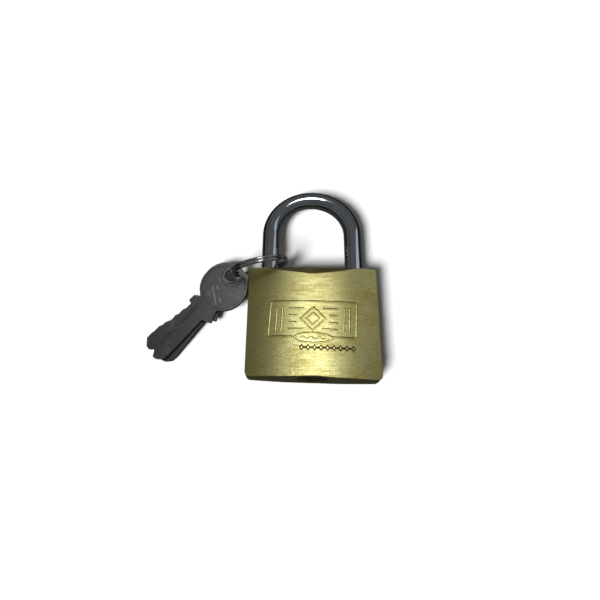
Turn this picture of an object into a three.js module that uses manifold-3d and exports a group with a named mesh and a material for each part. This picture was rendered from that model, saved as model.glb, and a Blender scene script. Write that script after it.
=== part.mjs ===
// Solid-brass pin tumbler padlock lying on its back, closed, with a split ring and two keys.
// Frame: millimetres, +Z out of the front face, +Y towards the shackle, +X to the right.
// The origin is on the table, at the middle of the case's back face.
import * as THREE from "three";
import { mergeVertices } from "three/addons/utils/BufferGeometryUtils.js";
import Module from "manifold-3d";

const wasm = await Module();
wasm.setup();

// ---- Driving dimensions -------------------------------------------------------------------
const GAP = 0.3; // running clearance between pieces that touch in the real lock
const PRESS = 0.1; // clearance drawn round pieces that are pressed in

const CASE = {
  width: 50,
  height: 43,
  thick: 14, // at the middle of the barrel-shaped faces
  sideThick: 7.4, // of the flat narrow sides
  facets: 21, // odd, so that the back has a flat middle strip to lie on
  topBevelRun: 2.85,
  topBevelDrop: 1.6,
  footRadius: 1.8,
  footBevel: 0.5,
};
const MID_Z = CASE.thick / 2;
const TOP_Y = CASE.height / 2;
const BASE_Y = -CASE.height / 2;
const SIDE_X = CASE.width / 2;

const SHACKLE = {
  dia: 7,
  pitch: 33.6,
  rise: 37.3, // from the case's top to the crown of the arch
  lift: 12,
  toeDepth: 11, // length of the toe inside the case
  heelEnd: -2,
  neckRadius: 2.3,
  boreFloorHeel: -12,
};
const TOE_X = -SHACKLE.pitch / 2;
const HEEL_X = SHACKLE.pitch / 2;
const LEG_R = SHACKLE.dia / 2;
const TOE_END = TOP_Y - SHACKLE.toeDepth;

const PLUG = {
  radius: 5.4,
  base: BASE_Y + 0.4,
  top: 8,
  wayWidth: 2.2,
  wayDeepX: -4.9,
  grooveY: 3.4,
  grooveRadius: 4.5,
  grooveWidth: 2.6,
};
const PIN = { count: 5, firstY: -16.9, pitch: 3.8, radius: 1.2, capLength: 6 };
const KEY_CUTS = [3.3, 2.7, 2.2, 1.0, 0.3]; // depth at each pin, from the shoulder to the tip
const SHORTEST_PIN = 1.1; // a pin is longer by the depth of its cut
const DRIVER_LENGTH = 4.2;

const LATCH = {
  y: 16.7,
  radius: 2.2,
  nose: TOE_X + LEG_R - 1.0,
  tail: 5.2,
  boreEnd: 10.6,
  travel: 3.11,
};
const CAM = { throwRadius: 2.2, pinRadius: 1.1, discRadius: 5.0, discTop: 11 };

const RETAINER_R = 1;
const HEEL_PIN = { x: 13.2, y: 13 };

const RING = {
  radius: 11.1,
  wire: 1.2,
  pitch: 1.3,
  centre: [-20.95, 22.1, MID_Z + 4.58],
  normal: [-0.234, 0.953, 0.193],
};

const KEY = {
  thick: 1.8,
  bowRadius: 9.8,
  bowCentre: [5.5, 0.4],
  holeRadius: 3.2,
  rimWidth: 1.0,
  tip: 44.6,
  backEdge: 3.3,
  cutEdge: -8.2,
  incline: 6.4, // degrees, bow raised by the ring
};
const KEYS = [
  { name: "key_1", hole: [-32.0, 18.75, 8.0], heading: 228.3 },
  { name: "key_2", hole: [-32.15, 20.8, 5.88], heading: 233.5 },
];

// ---- Finishes -----------------------------------------------------------------------------
const FINISH = {
  brass: { color: 0xa79a55, roughness: 0.38, metalness: 1 },
  chrome: { color: 0xb9bdc2, roughness: 0.08, metalness: 1 },
  plugBrass: { color: 0x8f7f3c, roughness: 0.45, metalness: 1 },
  steel: { color: 0x8a8c8e, roughness: 0.35, metalness: 1 },
  springSteel: { color: 0x75787a, roughness: 0.3, metalness: 1 },
  nickel: { color: 0x7c7b78, roughness: 0.4, metalness: 1 },
  ringSteel: { color: 0xa3a4a6, roughness: 0.2, metalness: 1 },
};

// ---- Solid helpers ------------------------------------------------------------------------
const vec = (x, y, z) => new THREE.Vector3(x, y, z);

function toSolid(geometry) {
  const bare = geometry.clone();
  bare.deleteAttribute("normal");
  bare.deleteAttribute("uv");
  const welded = mergeVertices(bare, 1e-5);
  return new wasm.Manifold(
    new wasm.Mesh({
      numProp: 3,
      vertProperties: new Float32Array(welded.attributes.position.array),
      triVerts: new Uint32Array(welded.index.array),
    })
  );
}

function toMesh(name, solid, finish) {
  const mesh = solid.getMesh();
  let geometry = new THREE.BufferGeometry();
  geometry.setAttribute("position", new THREE.BufferAttribute(mesh.vertProperties, 3));
  geometry.setIndex(new THREE.BufferAttribute(mesh.triVerts, 1));
  geometry = geometry.toNonIndexed();
  geometry.computeVertexNormals();
  const part = new THREE.Mesh(geometry, new THREE.MeshStandardMaterial(FINISH[finish]));
  part.name = name;
  return part;
}

// A prism of a 2-D outline, from z = low to z = high.
function prism(points, low, high) {
  const shape = new THREE.Shape(points.map(([x, y]) => new THREE.Vector2(x, y)));
  const geometry = new THREE.ExtrudeGeometry(shape, { depth: high - low, bevelEnabled: false });
  return geometry.translate(0, 0, low);
}

function circle(cx, cy, radius, sides, from = 0, to = 360) {
  const whole = to - from === 360;
  const count = whole ? sides : sides + 1;
  return Array.from({ length: count }, (_, i) => {
    const angle = THREE.MathUtils.degToRad(from + ((to - from) * i) / sides);
    return [cx + radius * Math.cos(angle), cy + radius * Math.sin(angle)];
  });
}

// A turned solid: profile is [radius, height] pairs, turned about +Y and moved to a place.
function turned(profile, sides = 24) {
  const low = profile[0][1];
  const high = profile[profile.length - 1][1];
  const points = [[0, low], ...profile, [0, high]].map(([r, h]) => new THREE.Vector2(r, h));
  return new THREE.LatheGeometry(points, sides);
}

const alongY = (profile, x, z, sides) => toSolid(turned(profile, sides).translate(x, 0, z));
const alongX = (profile, y, z, sides) =>
  toSolid(turned(profile, sides).rotateZ(-Math.PI / 2).translate(0, y, z));
const alongZ = (profile, x, y, sides) =>
  toSolid(turned(profile, sides).rotateX(Math.PI / 2).translate(x, y, 0));
const rod = (radius, low, high) => [[radius, low], [radius, high]];

// A rod with both ends chamfered by c.
const softRod = (radius, low, high, c) => [
  [radius - c, low],
  [radius, low + c],
  [radius, high - c],
  [radius - c, high],
];

function box(low, high) {
  const size = high.map((h, i) => h - low[i]);
  const centre = high.map((h, i) => (h + low[i]) / 2);
  return toSolid(new THREE.BoxGeometry(...size).translate(...centre));
}

// A solid swept along stations of {p, u, v}: centre and the two directions of its section.
function sweep(stations, section) {
  const n = section.length;
  const position = [];
  for (const { p, u, v } of stations) {
    for (const [a, b] of section) {
      const point = p.clone().addScaledVector(u, a).addScaledVector(v, b);
      position.push(point.x, point.y, point.z);
    }
  }
  const index = [];
  for (let i = 0; i + 1 < stations.length; i += 1) {
    for (let j = 0; j < n; j += 1) {
      const a = i * n + j;
      const b = i * n + ((j + 1) % n);
      index.push(a, b, b + n, a, b + n, a + n);
    }
  }
  const last = (stations.length - 1) * n;
  for (let j = 1; j + 1 < n; j += 1) {
    index.push(0, j + 1, j, last, last + j, last + j + 1);
  }
  const geometry = new THREE.BufferGeometry();
  geometry.setAttribute("position", new THREE.Float32BufferAttribute(position, 3));
  geometry.setIndex(index);
  return toSolid(geometry);
}

// A coil spring about an axis that starts at `start` and runs along the unit vector `axis`.
function coil(start, axis, side, { mean, wire, length, turns }) {
  const across = axis.clone().cross(side);
  const steps = turns * 9;
  const travel = length - wire;
  const stations = Array.from({ length: steps + 1 }, (_, i) => {
    const angle = (i / 9) * 2 * Math.PI;
    const along = wire / 2 + (travel * i) / steps;
    const radial = side.clone().multiplyScalar(Math.cos(angle));
    radial.addScaledVector(across, Math.sin(angle));
    const p = start.clone().addScaledVector(radial, mean).addScaledVector(axis, along);
    return { p, u: axis.clone(), v: radial };
  });
  return sweep(stations, circle(0, 0, wire / 2, 5));
}

// ---- Case ---------------------------------------------------------------------------------
function caseOutlineXZ() {
  const sagitta = (CASE.thick - CASE.sideThick) / 2;
  const radius = (SIDE_X ** 2 + sagitta ** 2) / (2 * sagitta);
  const drop = (x) => radius - Math.sqrt(radius ** 2 - x ** 2);
  const flat = drop(SIDE_X / CASE.facets);
  const face = Array.from({ length: CASE.facets + 1 }, (_, i) => {
    const x = -SIDE_X + (i * CASE.width) / CASE.facets;
    return [x, drop(x) - flat];
  });
  const back = face.map(([x, z]) => [x, z]);
  const front = face.map(([x, z]) => [x, CASE.thick - z]).reverse();
  return [...back, ...front];
}

function caseBlank() {
  const barrel = prism(caseOutlineXZ(), -TOP_Y, -BASE_Y).rotateX(Math.PI / 2);
  const r = CASE.footRadius;
  const plan = [
    ...circle(-SIDE_X + r, BASE_Y + r, r, 5, 180, 270),
    ...circle(SIDE_X - r, BASE_Y + r, r, 5, 270, 360),
    [SIDE_X, TOP_Y],
    [-SIDE_X, TOP_Y],
  ];
  const { topBevelRun: run, topBevelDrop: drop, footBevel: foot } = CASE;
  const flank = [
    [BASE_Y, foot],
    [BASE_Y + foot, -1],
    [TOP_Y - run, -0.01],
    [TOP_Y, drop],
    [TOP_Y, CASE.thick - drop],
    [TOP_Y - run, CASE.thick + 0.01],
    [BASE_Y + foot, CASE.thick + 1],
    [BASE_Y, CASE.thick - foot],
  ];
  const cyclic = new THREE.Matrix4().makeBasis(vec(0, 1, 0), vec(0, 0, 1), vec(1, 0, 0));
  return toSolid(barrel)
    .intersect(toSolid(prism(plan, -1, CASE.thick + 1)))
    .intersect(toSolid(prism(flank, -SIDE_X - 1, SIDE_X + 1).applyMatrix4(cyclic)));
}

const pinRow = Array.from({ length: PIN.count }, (_, i) => PIN.firstY + i * PIN.pitch);
const plugPinX = PLUG.grooveRadius + GAP + RETAINER_R;

function caseBody() {
  const legBore = LEG_R + GAP;
  const plugBore = PLUG.radius + GAP;
  const camPath = CAM.throwRadius + CAM.pinRadius + GAP;
  const chamber = rod(PIN.radius + GAP, -SIDE_X - 1, -PLUG.radius + 1);
  const cuts = [
    alongY(rod(legBore, TOE_END - GAP, TOP_Y + 1), TOE_X, MID_Z),
    alongY(rod(legBore, SHACKLE.boreFloorHeel, TOP_Y + 1), HEEL_X, MID_Z),
    alongY(rod(plugBore, BASE_Y - 1, CAM.discTop + GAP), 0, MID_Z, 32),
    alongY([[plugBore + 1, BASE_Y - 0.6], [plugBore - 0.1, BASE_Y + 0.5]], 0, MID_Z, 32),
    alongY(rod(camPath, CAM.discTop, LATCH.y + 1), 0, MID_Z),
    alongX(rod(LATCH.radius + GAP, -SIDE_X - 1, LATCH.boreEnd), LATCH.y, MID_Z),
    alongZ(rod(RETAINER_R + PRESS, -1, 12.5), HEEL_PIN.x, HEEL_PIN.y, 12),
    alongZ(rod(RETAINER_R + PRESS, -1, 12.5), plugPinX, PLUG.grooveY, 12),
    alongY(rod(0.8, BASE_Y - 1, BASE_Y + 1.6), -19.5, MID_Z, 12),
    ...pinRow.map((y) => alongX(chamber, y, MID_Z, 16)),
  ];
  return cuts.reduce((body, cut) => body.subtract(cut), caseBlank());
}

// ---- Shackle ------------------------------------------------------------------------------
function shackle() {
  const archY = TOP_Y + SHACKLE.rise - LEG_R - HEEL_X;
  const arch = Array.from({ length: 29 }, (_, i) => {
    const angle = Math.PI * (1 - i / 28);
    const u = vec(Math.cos(angle), Math.sin(angle), 0);
    const p = u.clone().multiplyScalar(HEEL_X).add(vec(0, archY, MID_Z));
    return { p, u, v: vec(0, 0, 1) };
  });
  const foot = { ...arch[0], p: vec(TOE_X, TOE_END + 2, MID_Z) };
  const ankle = { ...arch[28], p: vec(HEEL_X, HEEL_PIN.y + RETAINER_R + GAP + 1, MID_Z) };
  const bow = sweep([foot, ...arch, ankle], circle(0, 0, LEG_R, 24));
  const toe = alongY([[LEG_R - 1, TOE_END], [LEG_R, TOE_END + 1], [LEG_R, TOE_END + 2]], TOE_X, MID_Z);
  const neckTop = HEEL_PIN.y + RETAINER_R + GAP;
  const neckLow = neckTop - SHACKLE.lift - 2 * (RETAINER_R + GAP);
  const heel = alongY(
    [
      [LEG_R - 0.5, SHACKLE.heelEnd],
      [LEG_R, SHACKLE.heelEnd + 0.5],
      [LEG_R, neckLow],
      [SHACKLE.neckRadius, neckLow],
      [SHACKLE.neckRadius, neckTop],
      [LEG_R, neckTop],
      [LEG_R, neckTop + 1],
    ],
    HEEL_X,
    MID_Z
  );
  const floorX = LATCH.nose - GAP;
  const rate = LATCH.travel / SHACKLE.lift;
  const low = LATCH.y - LATCH.radius - GAP;
  const high = LATCH.y + LATCH.radius + GAP;
  const notch = [
    [floorX, low],
    [floorX + rate * (low - TOE_END + 1), TOE_END - 1],
    [TOE_X + LEG_R + 1, TOE_END - 1],
    [TOE_X + LEG_R + 1, high + 1.5],
    [floorX, high],
  ];
  const cutter = toSolid(prism(notch, MID_Z - 5, MID_Z + 5));
  return bow.add(toe).add(heel).subtract(cutter);
}

// ---- Cylinder -----------------------------------------------------------------------------
function plug() {
  const half = PLUG.grooveWidth / 2;
  const body = alongY(
    [
      [PLUG.radius - 0.4, PLUG.base],
      [PLUG.radius, PLUG.base + 0.4],
      [PLUG.radius, PLUG.grooveY - half],
      [PLUG.grooveRadius, PLUG.grooveY - half],
      [PLUG.grooveRadius, PLUG.grooveY + half],
      [PLUG.radius, PLUG.grooveY + half],
      [PLUG.radius, PLUG.top],
    ],
    0,
    MID_Z,
    32
  );
  const halfWay = PLUG.wayWidth / 2;
  const wayTop = PLUG.grooveY - half - 1;
  const keyway = box(
    [PLUG.wayDeepX, PLUG.base - 1, MID_Z - halfWay],
    [PLUG.radius + 1, wayTop, MID_Z + halfWay]
  );
  // A ward stands into the keyway from its front wall.
  const ward = box(
    [-0.6, PLUG.base + 0.2, MID_Z + halfWay - 0.5],
    [1.4, wayTop + 0.1, MID_Z + halfWay + 0.5]
  );
  const slot = box(
    [-PLUG.radius - 1, PLUG.top - 1.6, MID_Z - 1.3],
    [PLUG.radius + 1, PLUG.top + 1, MID_Z + 1.3]
  );
  const bore = rod(PIN.radius + GAP, -PLUG.radius - 1, -1);
  const cuts = [keyway.subtract(ward), slot, ...pinRow.map((y) => alongX(bore, y, MID_Z, 16))];
  return cuts.reduce((solid, cut) => solid.subtract(cut), body);
}

function cam() {
  const turn = Math.PI / 4;
  const disc = alongY(softRod(CAM.discRadius, PLUG.top + GAP, CAM.discTop, 0.3), 0, MID_Z, 28);
  const tongue = box(
    [-CAM.discRadius + 0.8, PLUG.top - 1.3, MID_Z - 1],
    [CAM.discRadius - 0.8, PLUG.top + 1, MID_Z + 1]
  );
  const x = -CAM.throwRadius * Math.sin(turn);
  const z = MID_Z + CAM.throwRadius * Math.cos(turn);
  const pin = alongY(softRod(CAM.pinRadius, CAM.discTop - 1, LATCH.y + 0.6, 0.3), x, z, 16);
  return disc.add(tongue).add(pin);
}

function latch() {
  const body = alongX(softRod(LATCH.radius, LATCH.nose, LATCH.tail, 0.3), LATCH.y, MID_Z, 20);
  // The upper side of the nose is bevelled, so that the toe pushes it back on closing.
  const bevel = [
    [LATCH.nose - 1, LATCH.y + 0.4],
    [LATCH.nose + 2.4, LATCH.y + 3.8],
    [LATCH.nose - 1, LATCH.y + 3.8],
  ];
  const slotX = -CAM.throwRadius * Math.sin(Math.PI / 4);
  const half = CAM.pinRadius + GAP + 0.1;
  const slot = box([slotX - half, LATCH.y - 4, MID_Z - 4], [slotX + half, LATCH.y + 0.95, MID_Z + 4]);
  return body.subtract(toSolid(prism(bevel, MID_Z - 4, MID_Z + 4))).subtract(slot);
}

function keyPin(y, cutDepth) {
  const back = -PLUG.radius + 0.15;
  const tip = back + SHORTEST_PIN + cutDepth;
  const profile = [
    [PIN.radius - 0.15, back],
    [PIN.radius, back + 0.15],
    [PIN.radius, tip - 0.8],
    [0.4, tip],
  ];
  return alongX(profile, y, MID_Z, 14);
}

const driverTip = -PLUG.radius - GAP - 0.15;
const driverPin = (y) =>
  alongX(softRod(PIN.radius, driverTip - DRIVER_LENGTH, driverTip, 0.2), y, MID_Z, 14);
const chamberCap = (y) =>
  alongX(rod(PIN.radius + GAP - PRESS, -SIDE_X, -SIDE_X + PIN.capLength), y, MID_Z, 16);

function driverSpring(y) {
  const start = -SIDE_X + PIN.capLength + 0.1;
  const length = driverTip - DRIVER_LENGTH - 0.1 - start;
  const shape = { mean: 0.92, wire: 0.4, length, turns: 5 };
  return coil(vec(start, y, MID_Z), vec(1, 0, 0), vec(0, 1, 0), shape);
}

// ---- Split ring and keys ------------------------------------------------------------------
function splitRing() {
  const normal = vec(...RING.normal).normalize();
  const side = vec(1, 0, 0).addScaledVector(normal, -normal.x).normalize();
  const across = normal.clone().cross(side);
  const centre = vec(...RING.centre);
  const margin = 32;
  const steps = 62;
  const seam = 100; // degrees round the ring where one turn steps over to the other
  const stations = Array.from({ length: steps + 1 }, (_, i) => {
    const degrees = margin + ((720 - 2 * margin) * i) / steps;
    const step = THREE.MathUtils.smoothstep(degrees, 360 - margin, 360 + margin) - 0.5;
    const angle = THREE.MathUtils.degToRad(degrees + seam);
    const v = side.clone().multiplyScalar(Math.cos(angle)).addScaledVector(across, Math.sin(angle));
    const p = centre.clone().addScaledVector(v, RING.radius).addScaledVector(normal, step * RING.pitch);
    return { p, u: normal.clone(), v };
  });
  return sweep(stations, circle(0, 0, RING.wire / 2, 8));
}

function keyBlank() {
  const [bx, by] = KEY.bowCentre;
  const shoulder = bx + KEY.bowRadius - 1.2;
  const { tip, backEdge: back, cutEdge: cut } = KEY;
  const pitch = PIN.pitch;
  const first = shoulder + 7;
  const bitting = KEY_CUTS.flatMap((depth, i) => {
    const x = first + i * pitch;
    const crest = Math.max(depth - 0.7, 0);
    return [[x - 0.7, cut + depth], [x + 0.7, cut + depth], [x + pitch / 2, cut + crest]];
  });
  const blade = [
    [bx, cut + 4.2],
    [shoulder + 1, cut + 3.8],
    [shoulder + 1.4, cut + 1.8],
    [shoulder + 4.6, cut + 1.8],
    [shoulder + 5.0, cut + 3.4],
    ...bitting,
    [tip - 6, cut],
    [tip - 3.6, cut],
    [tip - 1.2, cut + 2.4],
    [tip - 1.0, cut + 4.0],
    [tip - 2.6, cut + 5.4],
    [tip - 1.6, cut + 6.4],
    [tip, cut + 7.4],
    [tip - 0.4, cut + 9.0],
    [tip - 2.4, back - 0.3],
    [tip - 4.2, back],
    [shoulder + 6.6, back],
    [shoulder + 6.1, back + 1.8],
    [shoulder + 5.2, back + 3.7],
    [shoulder + 3.0, back + 2.7],
    [shoulder + 0.6, back + 2.0],
    [bx, back + 1],
  ];
  const half = KEY.thick / 2;
  const bow = toSolid(prism(circle(bx, by, KEY.bowRadius, 40), -half, half));
  const outline = bow.add(toSolid(prism(blade, -half, half)));
  const eye = toSolid(prism(circle(0, 0, KEY.holeRadius, 24), -2, 2));
  const groove = box([shoulder + 2, cut + 5.2, half - 0.5], [tip + 1, cut + 7.0, half + 1]);
  const ward = box([shoulder + 2, cut + 7.4, -half - 1], [tip + 1, cut + 9.0, -half + 0.4]);
  const dish = toSolid(prism(circle(bx, by, KEY.bowRadius - 0.9, 36), half - 0.15, half + 1));
  const rim = toSolid(prism(circle(0, 0, KEY.holeRadius + KEY.rimWidth, 24), half - 1, half + 2));
  return outline.subtract(dish.subtract(rim)).subtract(eye).subtract(groove).subtract(ward);
}

// Keys lie bow up on the ring and tip down on the table, bitting towards the upper left.
function placedKey(spec) {
  const place = new THREE.Matrix4()
    .makeTranslation(...spec.hole)
    .multiply(new THREE.Matrix4().makeRotationZ(THREE.MathUtils.degToRad(spec.heading)))
    .multiply(new THREE.Matrix4().makeRotationY(THREE.MathUtils.degToRad(KEY.incline)));
  return keyBlank().transform(place.elements.slice());
}

// ---- The padlock --------------------------------------------------------------------------
function addCylinder(group) {
  group.add(toMesh("cylinder_plug", plug(), "plugBrass"));
  group.add(toMesh("plug_cam", cam(), "steel"));
  pinRow.forEach((y, i) => {
    group.add(toMesh(`key_pin_${i + 1}`, keyPin(y, KEY_CUTS[i]), "plugBrass"));
    group.add(toMesh(`driver_pin_${i + 1}`, driverPin(y), "plugBrass"));
    group.add(toMesh(`driver_spring_${i + 1}`, driverSpring(y), "springSteel"));
    group.add(toMesh(`chamber_cap_${i + 1}`, chamberCap(y), "brass"));
  });
}

function latchSpring() {
  const length = LATCH.boreEnd - LATCH.tail - 0.3;
  const start = vec(LATCH.tail + 0.15, LATCH.y, MID_Z);
  return coil(start, vec(1, 0, 0), vec(0, 1, 0), { mean: 1.6, wire: 0.4, length, turns: 4 });
}

function shackleSpring() {
  const length = SHACKLE.heelEnd - SHACKLE.boreFloorHeel - 0.3;
  const start = vec(HEEL_X, SHACKLE.boreFloorHeel + 0.15, MID_Z);
  return coil(start, vec(0, 1, 0), vec(1, 0, 0), { mean: 2.6, wire: 0.8, length, turns: 6 });
}

// The cap that closes the latch's bore is hollowed where the shackle's toe passes it.
function latchBoreCap() {
  const end = TOE_X - LEG_R - 2 * GAP;
  const cap = alongX(rod(LATCH.radius + GAP - PRESS, -SIDE_X, end), LATCH.y, MID_Z);
  return cap.subtract(alongY(rod(LEG_R + GAP, TOE_END - GAP, TOP_Y), TOE_X, MID_Z));
}

function addLocking(group) {
  group.add(toMesh("shackle", shackle(), "chrome"));
  group.add(toMesh("latch_bolt", latch(), "steel"));
  group.add(toMesh("latch_spring", latchSpring(), "springSteel"));
  group.add(toMesh("shackle_spring", shackleSpring(), "springSteel"));
  group.add(toMesh("latch_bore_cap", latchBoreCap(), "brass"));
  const heelPin = alongZ(rod(RETAINER_R, 1.1, 12.3), HEEL_PIN.x, HEEL_PIN.y, 12);
  const plugPin = alongZ(rod(RETAINER_R, 0.5, 12.3), plugPinX, PLUG.grooveY, 12);
  group.add(toMesh("heel_retaining_pin", heelPin, "steel"));
  group.add(toMesh("plug_retaining_pin", plugPin, "steel"));
}

const padlock = new THREE.Group();
padlock.name = "padlock";
padlock.add(toMesh("case_body", caseBody(), "brass"));
addLocking(padlock);
addCylinder(padlock);
padlock.add(toMesh("split_ring", splitRing(), "ringSteel"));
KEYS.forEach((spec) => padlock.add(toMesh(spec.name, placedKey(spec), "nickel")));

export default padlock;
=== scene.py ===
"""Brass pin tumbler padlock with a chromed shackle, a split ring and two keys.

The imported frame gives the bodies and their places. Every visible piece is made here as a finer
mesh in millimetres, brought to metres, dressed in its own finish and given to its body.
"""

import logging
import math
from dataclasses import dataclass, field
from enum import Enum
from typing import Callable, Optional, Sequence

import bmesh
import bpy
from mathutils import Matrix, Vector


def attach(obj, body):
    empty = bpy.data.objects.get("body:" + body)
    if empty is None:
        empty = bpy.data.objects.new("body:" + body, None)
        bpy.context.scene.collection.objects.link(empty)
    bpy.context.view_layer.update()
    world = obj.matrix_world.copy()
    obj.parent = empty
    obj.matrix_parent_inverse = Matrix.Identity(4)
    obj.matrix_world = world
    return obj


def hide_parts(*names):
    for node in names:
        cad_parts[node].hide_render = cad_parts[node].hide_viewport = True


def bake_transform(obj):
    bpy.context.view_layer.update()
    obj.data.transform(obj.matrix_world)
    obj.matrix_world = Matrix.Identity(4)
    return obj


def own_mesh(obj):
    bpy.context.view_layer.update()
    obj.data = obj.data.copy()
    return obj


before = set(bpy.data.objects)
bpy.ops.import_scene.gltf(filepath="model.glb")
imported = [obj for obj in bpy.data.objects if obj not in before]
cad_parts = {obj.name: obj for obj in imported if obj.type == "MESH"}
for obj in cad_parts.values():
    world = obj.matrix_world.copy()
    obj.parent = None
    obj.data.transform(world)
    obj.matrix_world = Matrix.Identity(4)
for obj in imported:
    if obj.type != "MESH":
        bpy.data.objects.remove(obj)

log = logging.getLogger("padlock")

MM = 0.001
Point2 = tuple[float, float]
Point3 = tuple[float, float, float]


class Axis(Enum):
    """The row's axis that a turned piece or a bore lies along."""

    X = "X"
    Y = "Y"
    Z = "Z"


# ---- Mesh making --------------------------------------------------------------------------


def piece_from(
    name: str, verts: Sequence[Sequence[float]], faces: Sequence[Sequence[int]]
) -> bpy.types.Object:
    """Makes a mesh object from plain lists.

    Args:
        name: the object's name.
        verts: corner positions in millimetres.
        faces: corner numbers of each face.

    Returns:
        The new object, linked to the scene, with its faces pointing outwards.
    """
    mesh = bpy.data.meshes.new(name)
    mesh.from_pydata([tuple(v) for v in verts], [], [tuple(f) for f in faces])
    bm = bmesh.new()
    bm.from_mesh(mesh)
    bmesh.ops.remove_doubles(bm, verts=bm.verts, dist=1e-5)
    bmesh.ops.recalc_face_normals(bm, faces=bm.faces)
    bm.to_mesh(mesh)
    bm.free()
    obj = bpy.data.objects.new(name, mesh)
    bpy.context.scene.collection.objects.link(obj)
    return obj


def circle(radius: float, sides: int, cx: float = 0.0, cy: float = 0.0) -> list[Point2]:
    """The corners of a regular polygon, as a list of points.

    Args:
        radius: the distance of the corners from the centre.
        sides: how many corners there are.
        cx: the centre, across.
        cy: the centre, up.

    Returns:
        The corners, in order.
    """
    turns = [2 * math.pi * i / sides for i in range(sides)]
    return [(cx + radius * math.cos(a), cy + radius * math.sin(a)) for a in turns]


def rounded(outline: Sequence[Point2], radii: Sequence[float], steps: int = 4) -> list[Point2]:
    """Rounds the corners of a closed outline.

    Args:
        outline: corners in order.
        radii: how far back along its edges each corner is rounded, one for each corner.
        steps: segments in each rounding.

    Returns:
        The outline with a smooth curve in place of each corner whose radius is above zero.
    """
    out: list[Point2] = []
    count = len(outline)
    for i, corner in enumerate(outline):
        if radii[i] <= 0:
            out.append(corner)
            continue
        here = Vector(corner)
        back = Vector(outline[i - 1]) - here
        ahead = Vector(outline[(i + 1) % count]) - here
        first = here + back.normalized() * min(radii[i], back.length * 0.49)
        last = here + ahead.normalized() * min(radii[i], ahead.length * 0.49)
        for k in range(steps + 1):
            t = k / steps
            point = first * (1 - t) ** 2 + here * 2 * t * (1 - t) + last * t**2
            out.append((point.x, point.y))
    return out


def prism(
    name: str, outline: Sequence[Point2], low: float, high: float,
    place: Callable[[float, float, float], Point3],
) -> bpy.types.Object:
    """A straight prism of an outline.

    Args:
        name: the object's name.
        outline: the outline's corners (a, b).
        low: where the prism starts along its length.
        high: where it ends.
        place: turns (a, b, length) into a row position.

    Returns:
        The closed prism.
    """
    n = len(outline)
    verts = [place(a, b, low) for a, b in outline] + [place(a, b, high) for a, b in outline]
    faces: list[Sequence[int]] = [list(range(n)), list(range(n, 2 * n))]
    faces += [(i, (i + 1) % n, n + (i + 1) % n, n + i) for i in range(n)]
    return piece_from(name, verts, faces)


def along(axis: Axis, x: float, y: float, z: float) -> Callable[[float, float, float], Point3]:
    """A placing rule for something that runs along an axis through a point.

    Args:
        axis: the axis it runs along.
        x: the point's place on X.
        y: the point's place on Y.
        z: the point's place on Z.

    Returns:
        A rule that turns (a, b, length) into a row position.
    """
    rules = {
        Axis.X: lambda a, b, h: (h, y + a, z + b),
        Axis.Y: lambda a, b, h: (x + b, h, z + a),
        Axis.Z: lambda a, b, h: (x + a, y + b, h),
    }
    return rules[axis]


def turned(
    name: str, profile: Sequence[Point2], place: Callable[[float, float, float], Point3], sides: int = 64
) -> bpy.types.Object:
    """A lathe-turned piece.

    Args:
        name: the object's name.
        profile: (radius, length) pairs from one end to the other; the ends are closed.
        place: turns (a, b, length) into a row position.
        sides: segments round the axis.

    Returns:
        The closed turned piece.
    """
    verts: list[Point3] = []
    faces: list[Sequence[int]] = []
    for radius, length in profile:
        verts += [place(a, b, length) for a, b in circle(max(radius, 1e-3), sides)]
    for i in range(len(profile) - 1):
        for j in range(sides):
            k = (j + 1) % sides
            faces.append((i * sides + j, i * sides + k, (i + 1) * sides + k, (i + 1) * sides + j))
    faces.append(list(range(sides)))
    faces.append(list(range((len(profile) - 1) * sides, len(profile) * sides)))
    return piece_from(name, verts, faces)


def swept(
    name: str, stations: Sequence[tuple[Vector, Vector, Vector]], section: Sequence[Point2]
) -> bpy.types.Object:
    """A bar swept along stations.

    Args:
        name: the object's name.
        stations: (centre, u, v) for each cut across the bar.
        section: the bar's section in u and v.

    Returns:
        The closed bar.
    """
    n = len(section)
    verts = [p + u * a + v * b for p, u, v in stations for a, b in section]
    faces: list[Sequence[int]] = []
    for i in range(len(stations) - 1):
        for j in range(n):
            k = (j + 1) % n
            faces.append((i * n + j, i * n + k, (i + 1) * n + k, (i + 1) * n + j))
    faces.append(list(range(n)))
    faces.append(list(range((len(stations) - 1) * n, len(stations) * n)))
    return piece_from(name, verts, faces)


def block(name: str, low: Point3, high: Point3) -> bpy.types.Object:
    """A cutter or stock block between two corners.

    Args:
        name: the object's name.
        low: its lowest corner.
        high: its highest corner.

    Returns:
        The block.
    """
    outline = [(low[0], low[1]), (high[0], low[1]), (high[0], high[1]), (low[0], high[1])]
    return prism(name, outline, low[2], high[2], along(Axis.Z, 0, 0, 0))


def applied(obj: bpy.types.Object) -> bpy.types.Object:
    """Turns an object's modifiers into plain mesh and removes them.

    Args:
        obj: the object with modifiers.

    Returns:
        The same object, as a plain mesh.
    """
    graph = bpy.context.evaluated_depsgraph_get()
    graph.update()
    mesh = bpy.data.meshes.new_from_object(obj.evaluated_get(graph), depsgraph=graph)
    mesh.name = obj.name
    obj.modifiers.clear()
    old, obj.data = obj.data, mesh
    bpy.data.meshes.remove(old)
    return obj


class Cut(Enum):
    """How two solids are combined."""

    TAKE = "DIFFERENCE"
    ADD = "UNION"
    KEEP = "INTERSECT"


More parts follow.
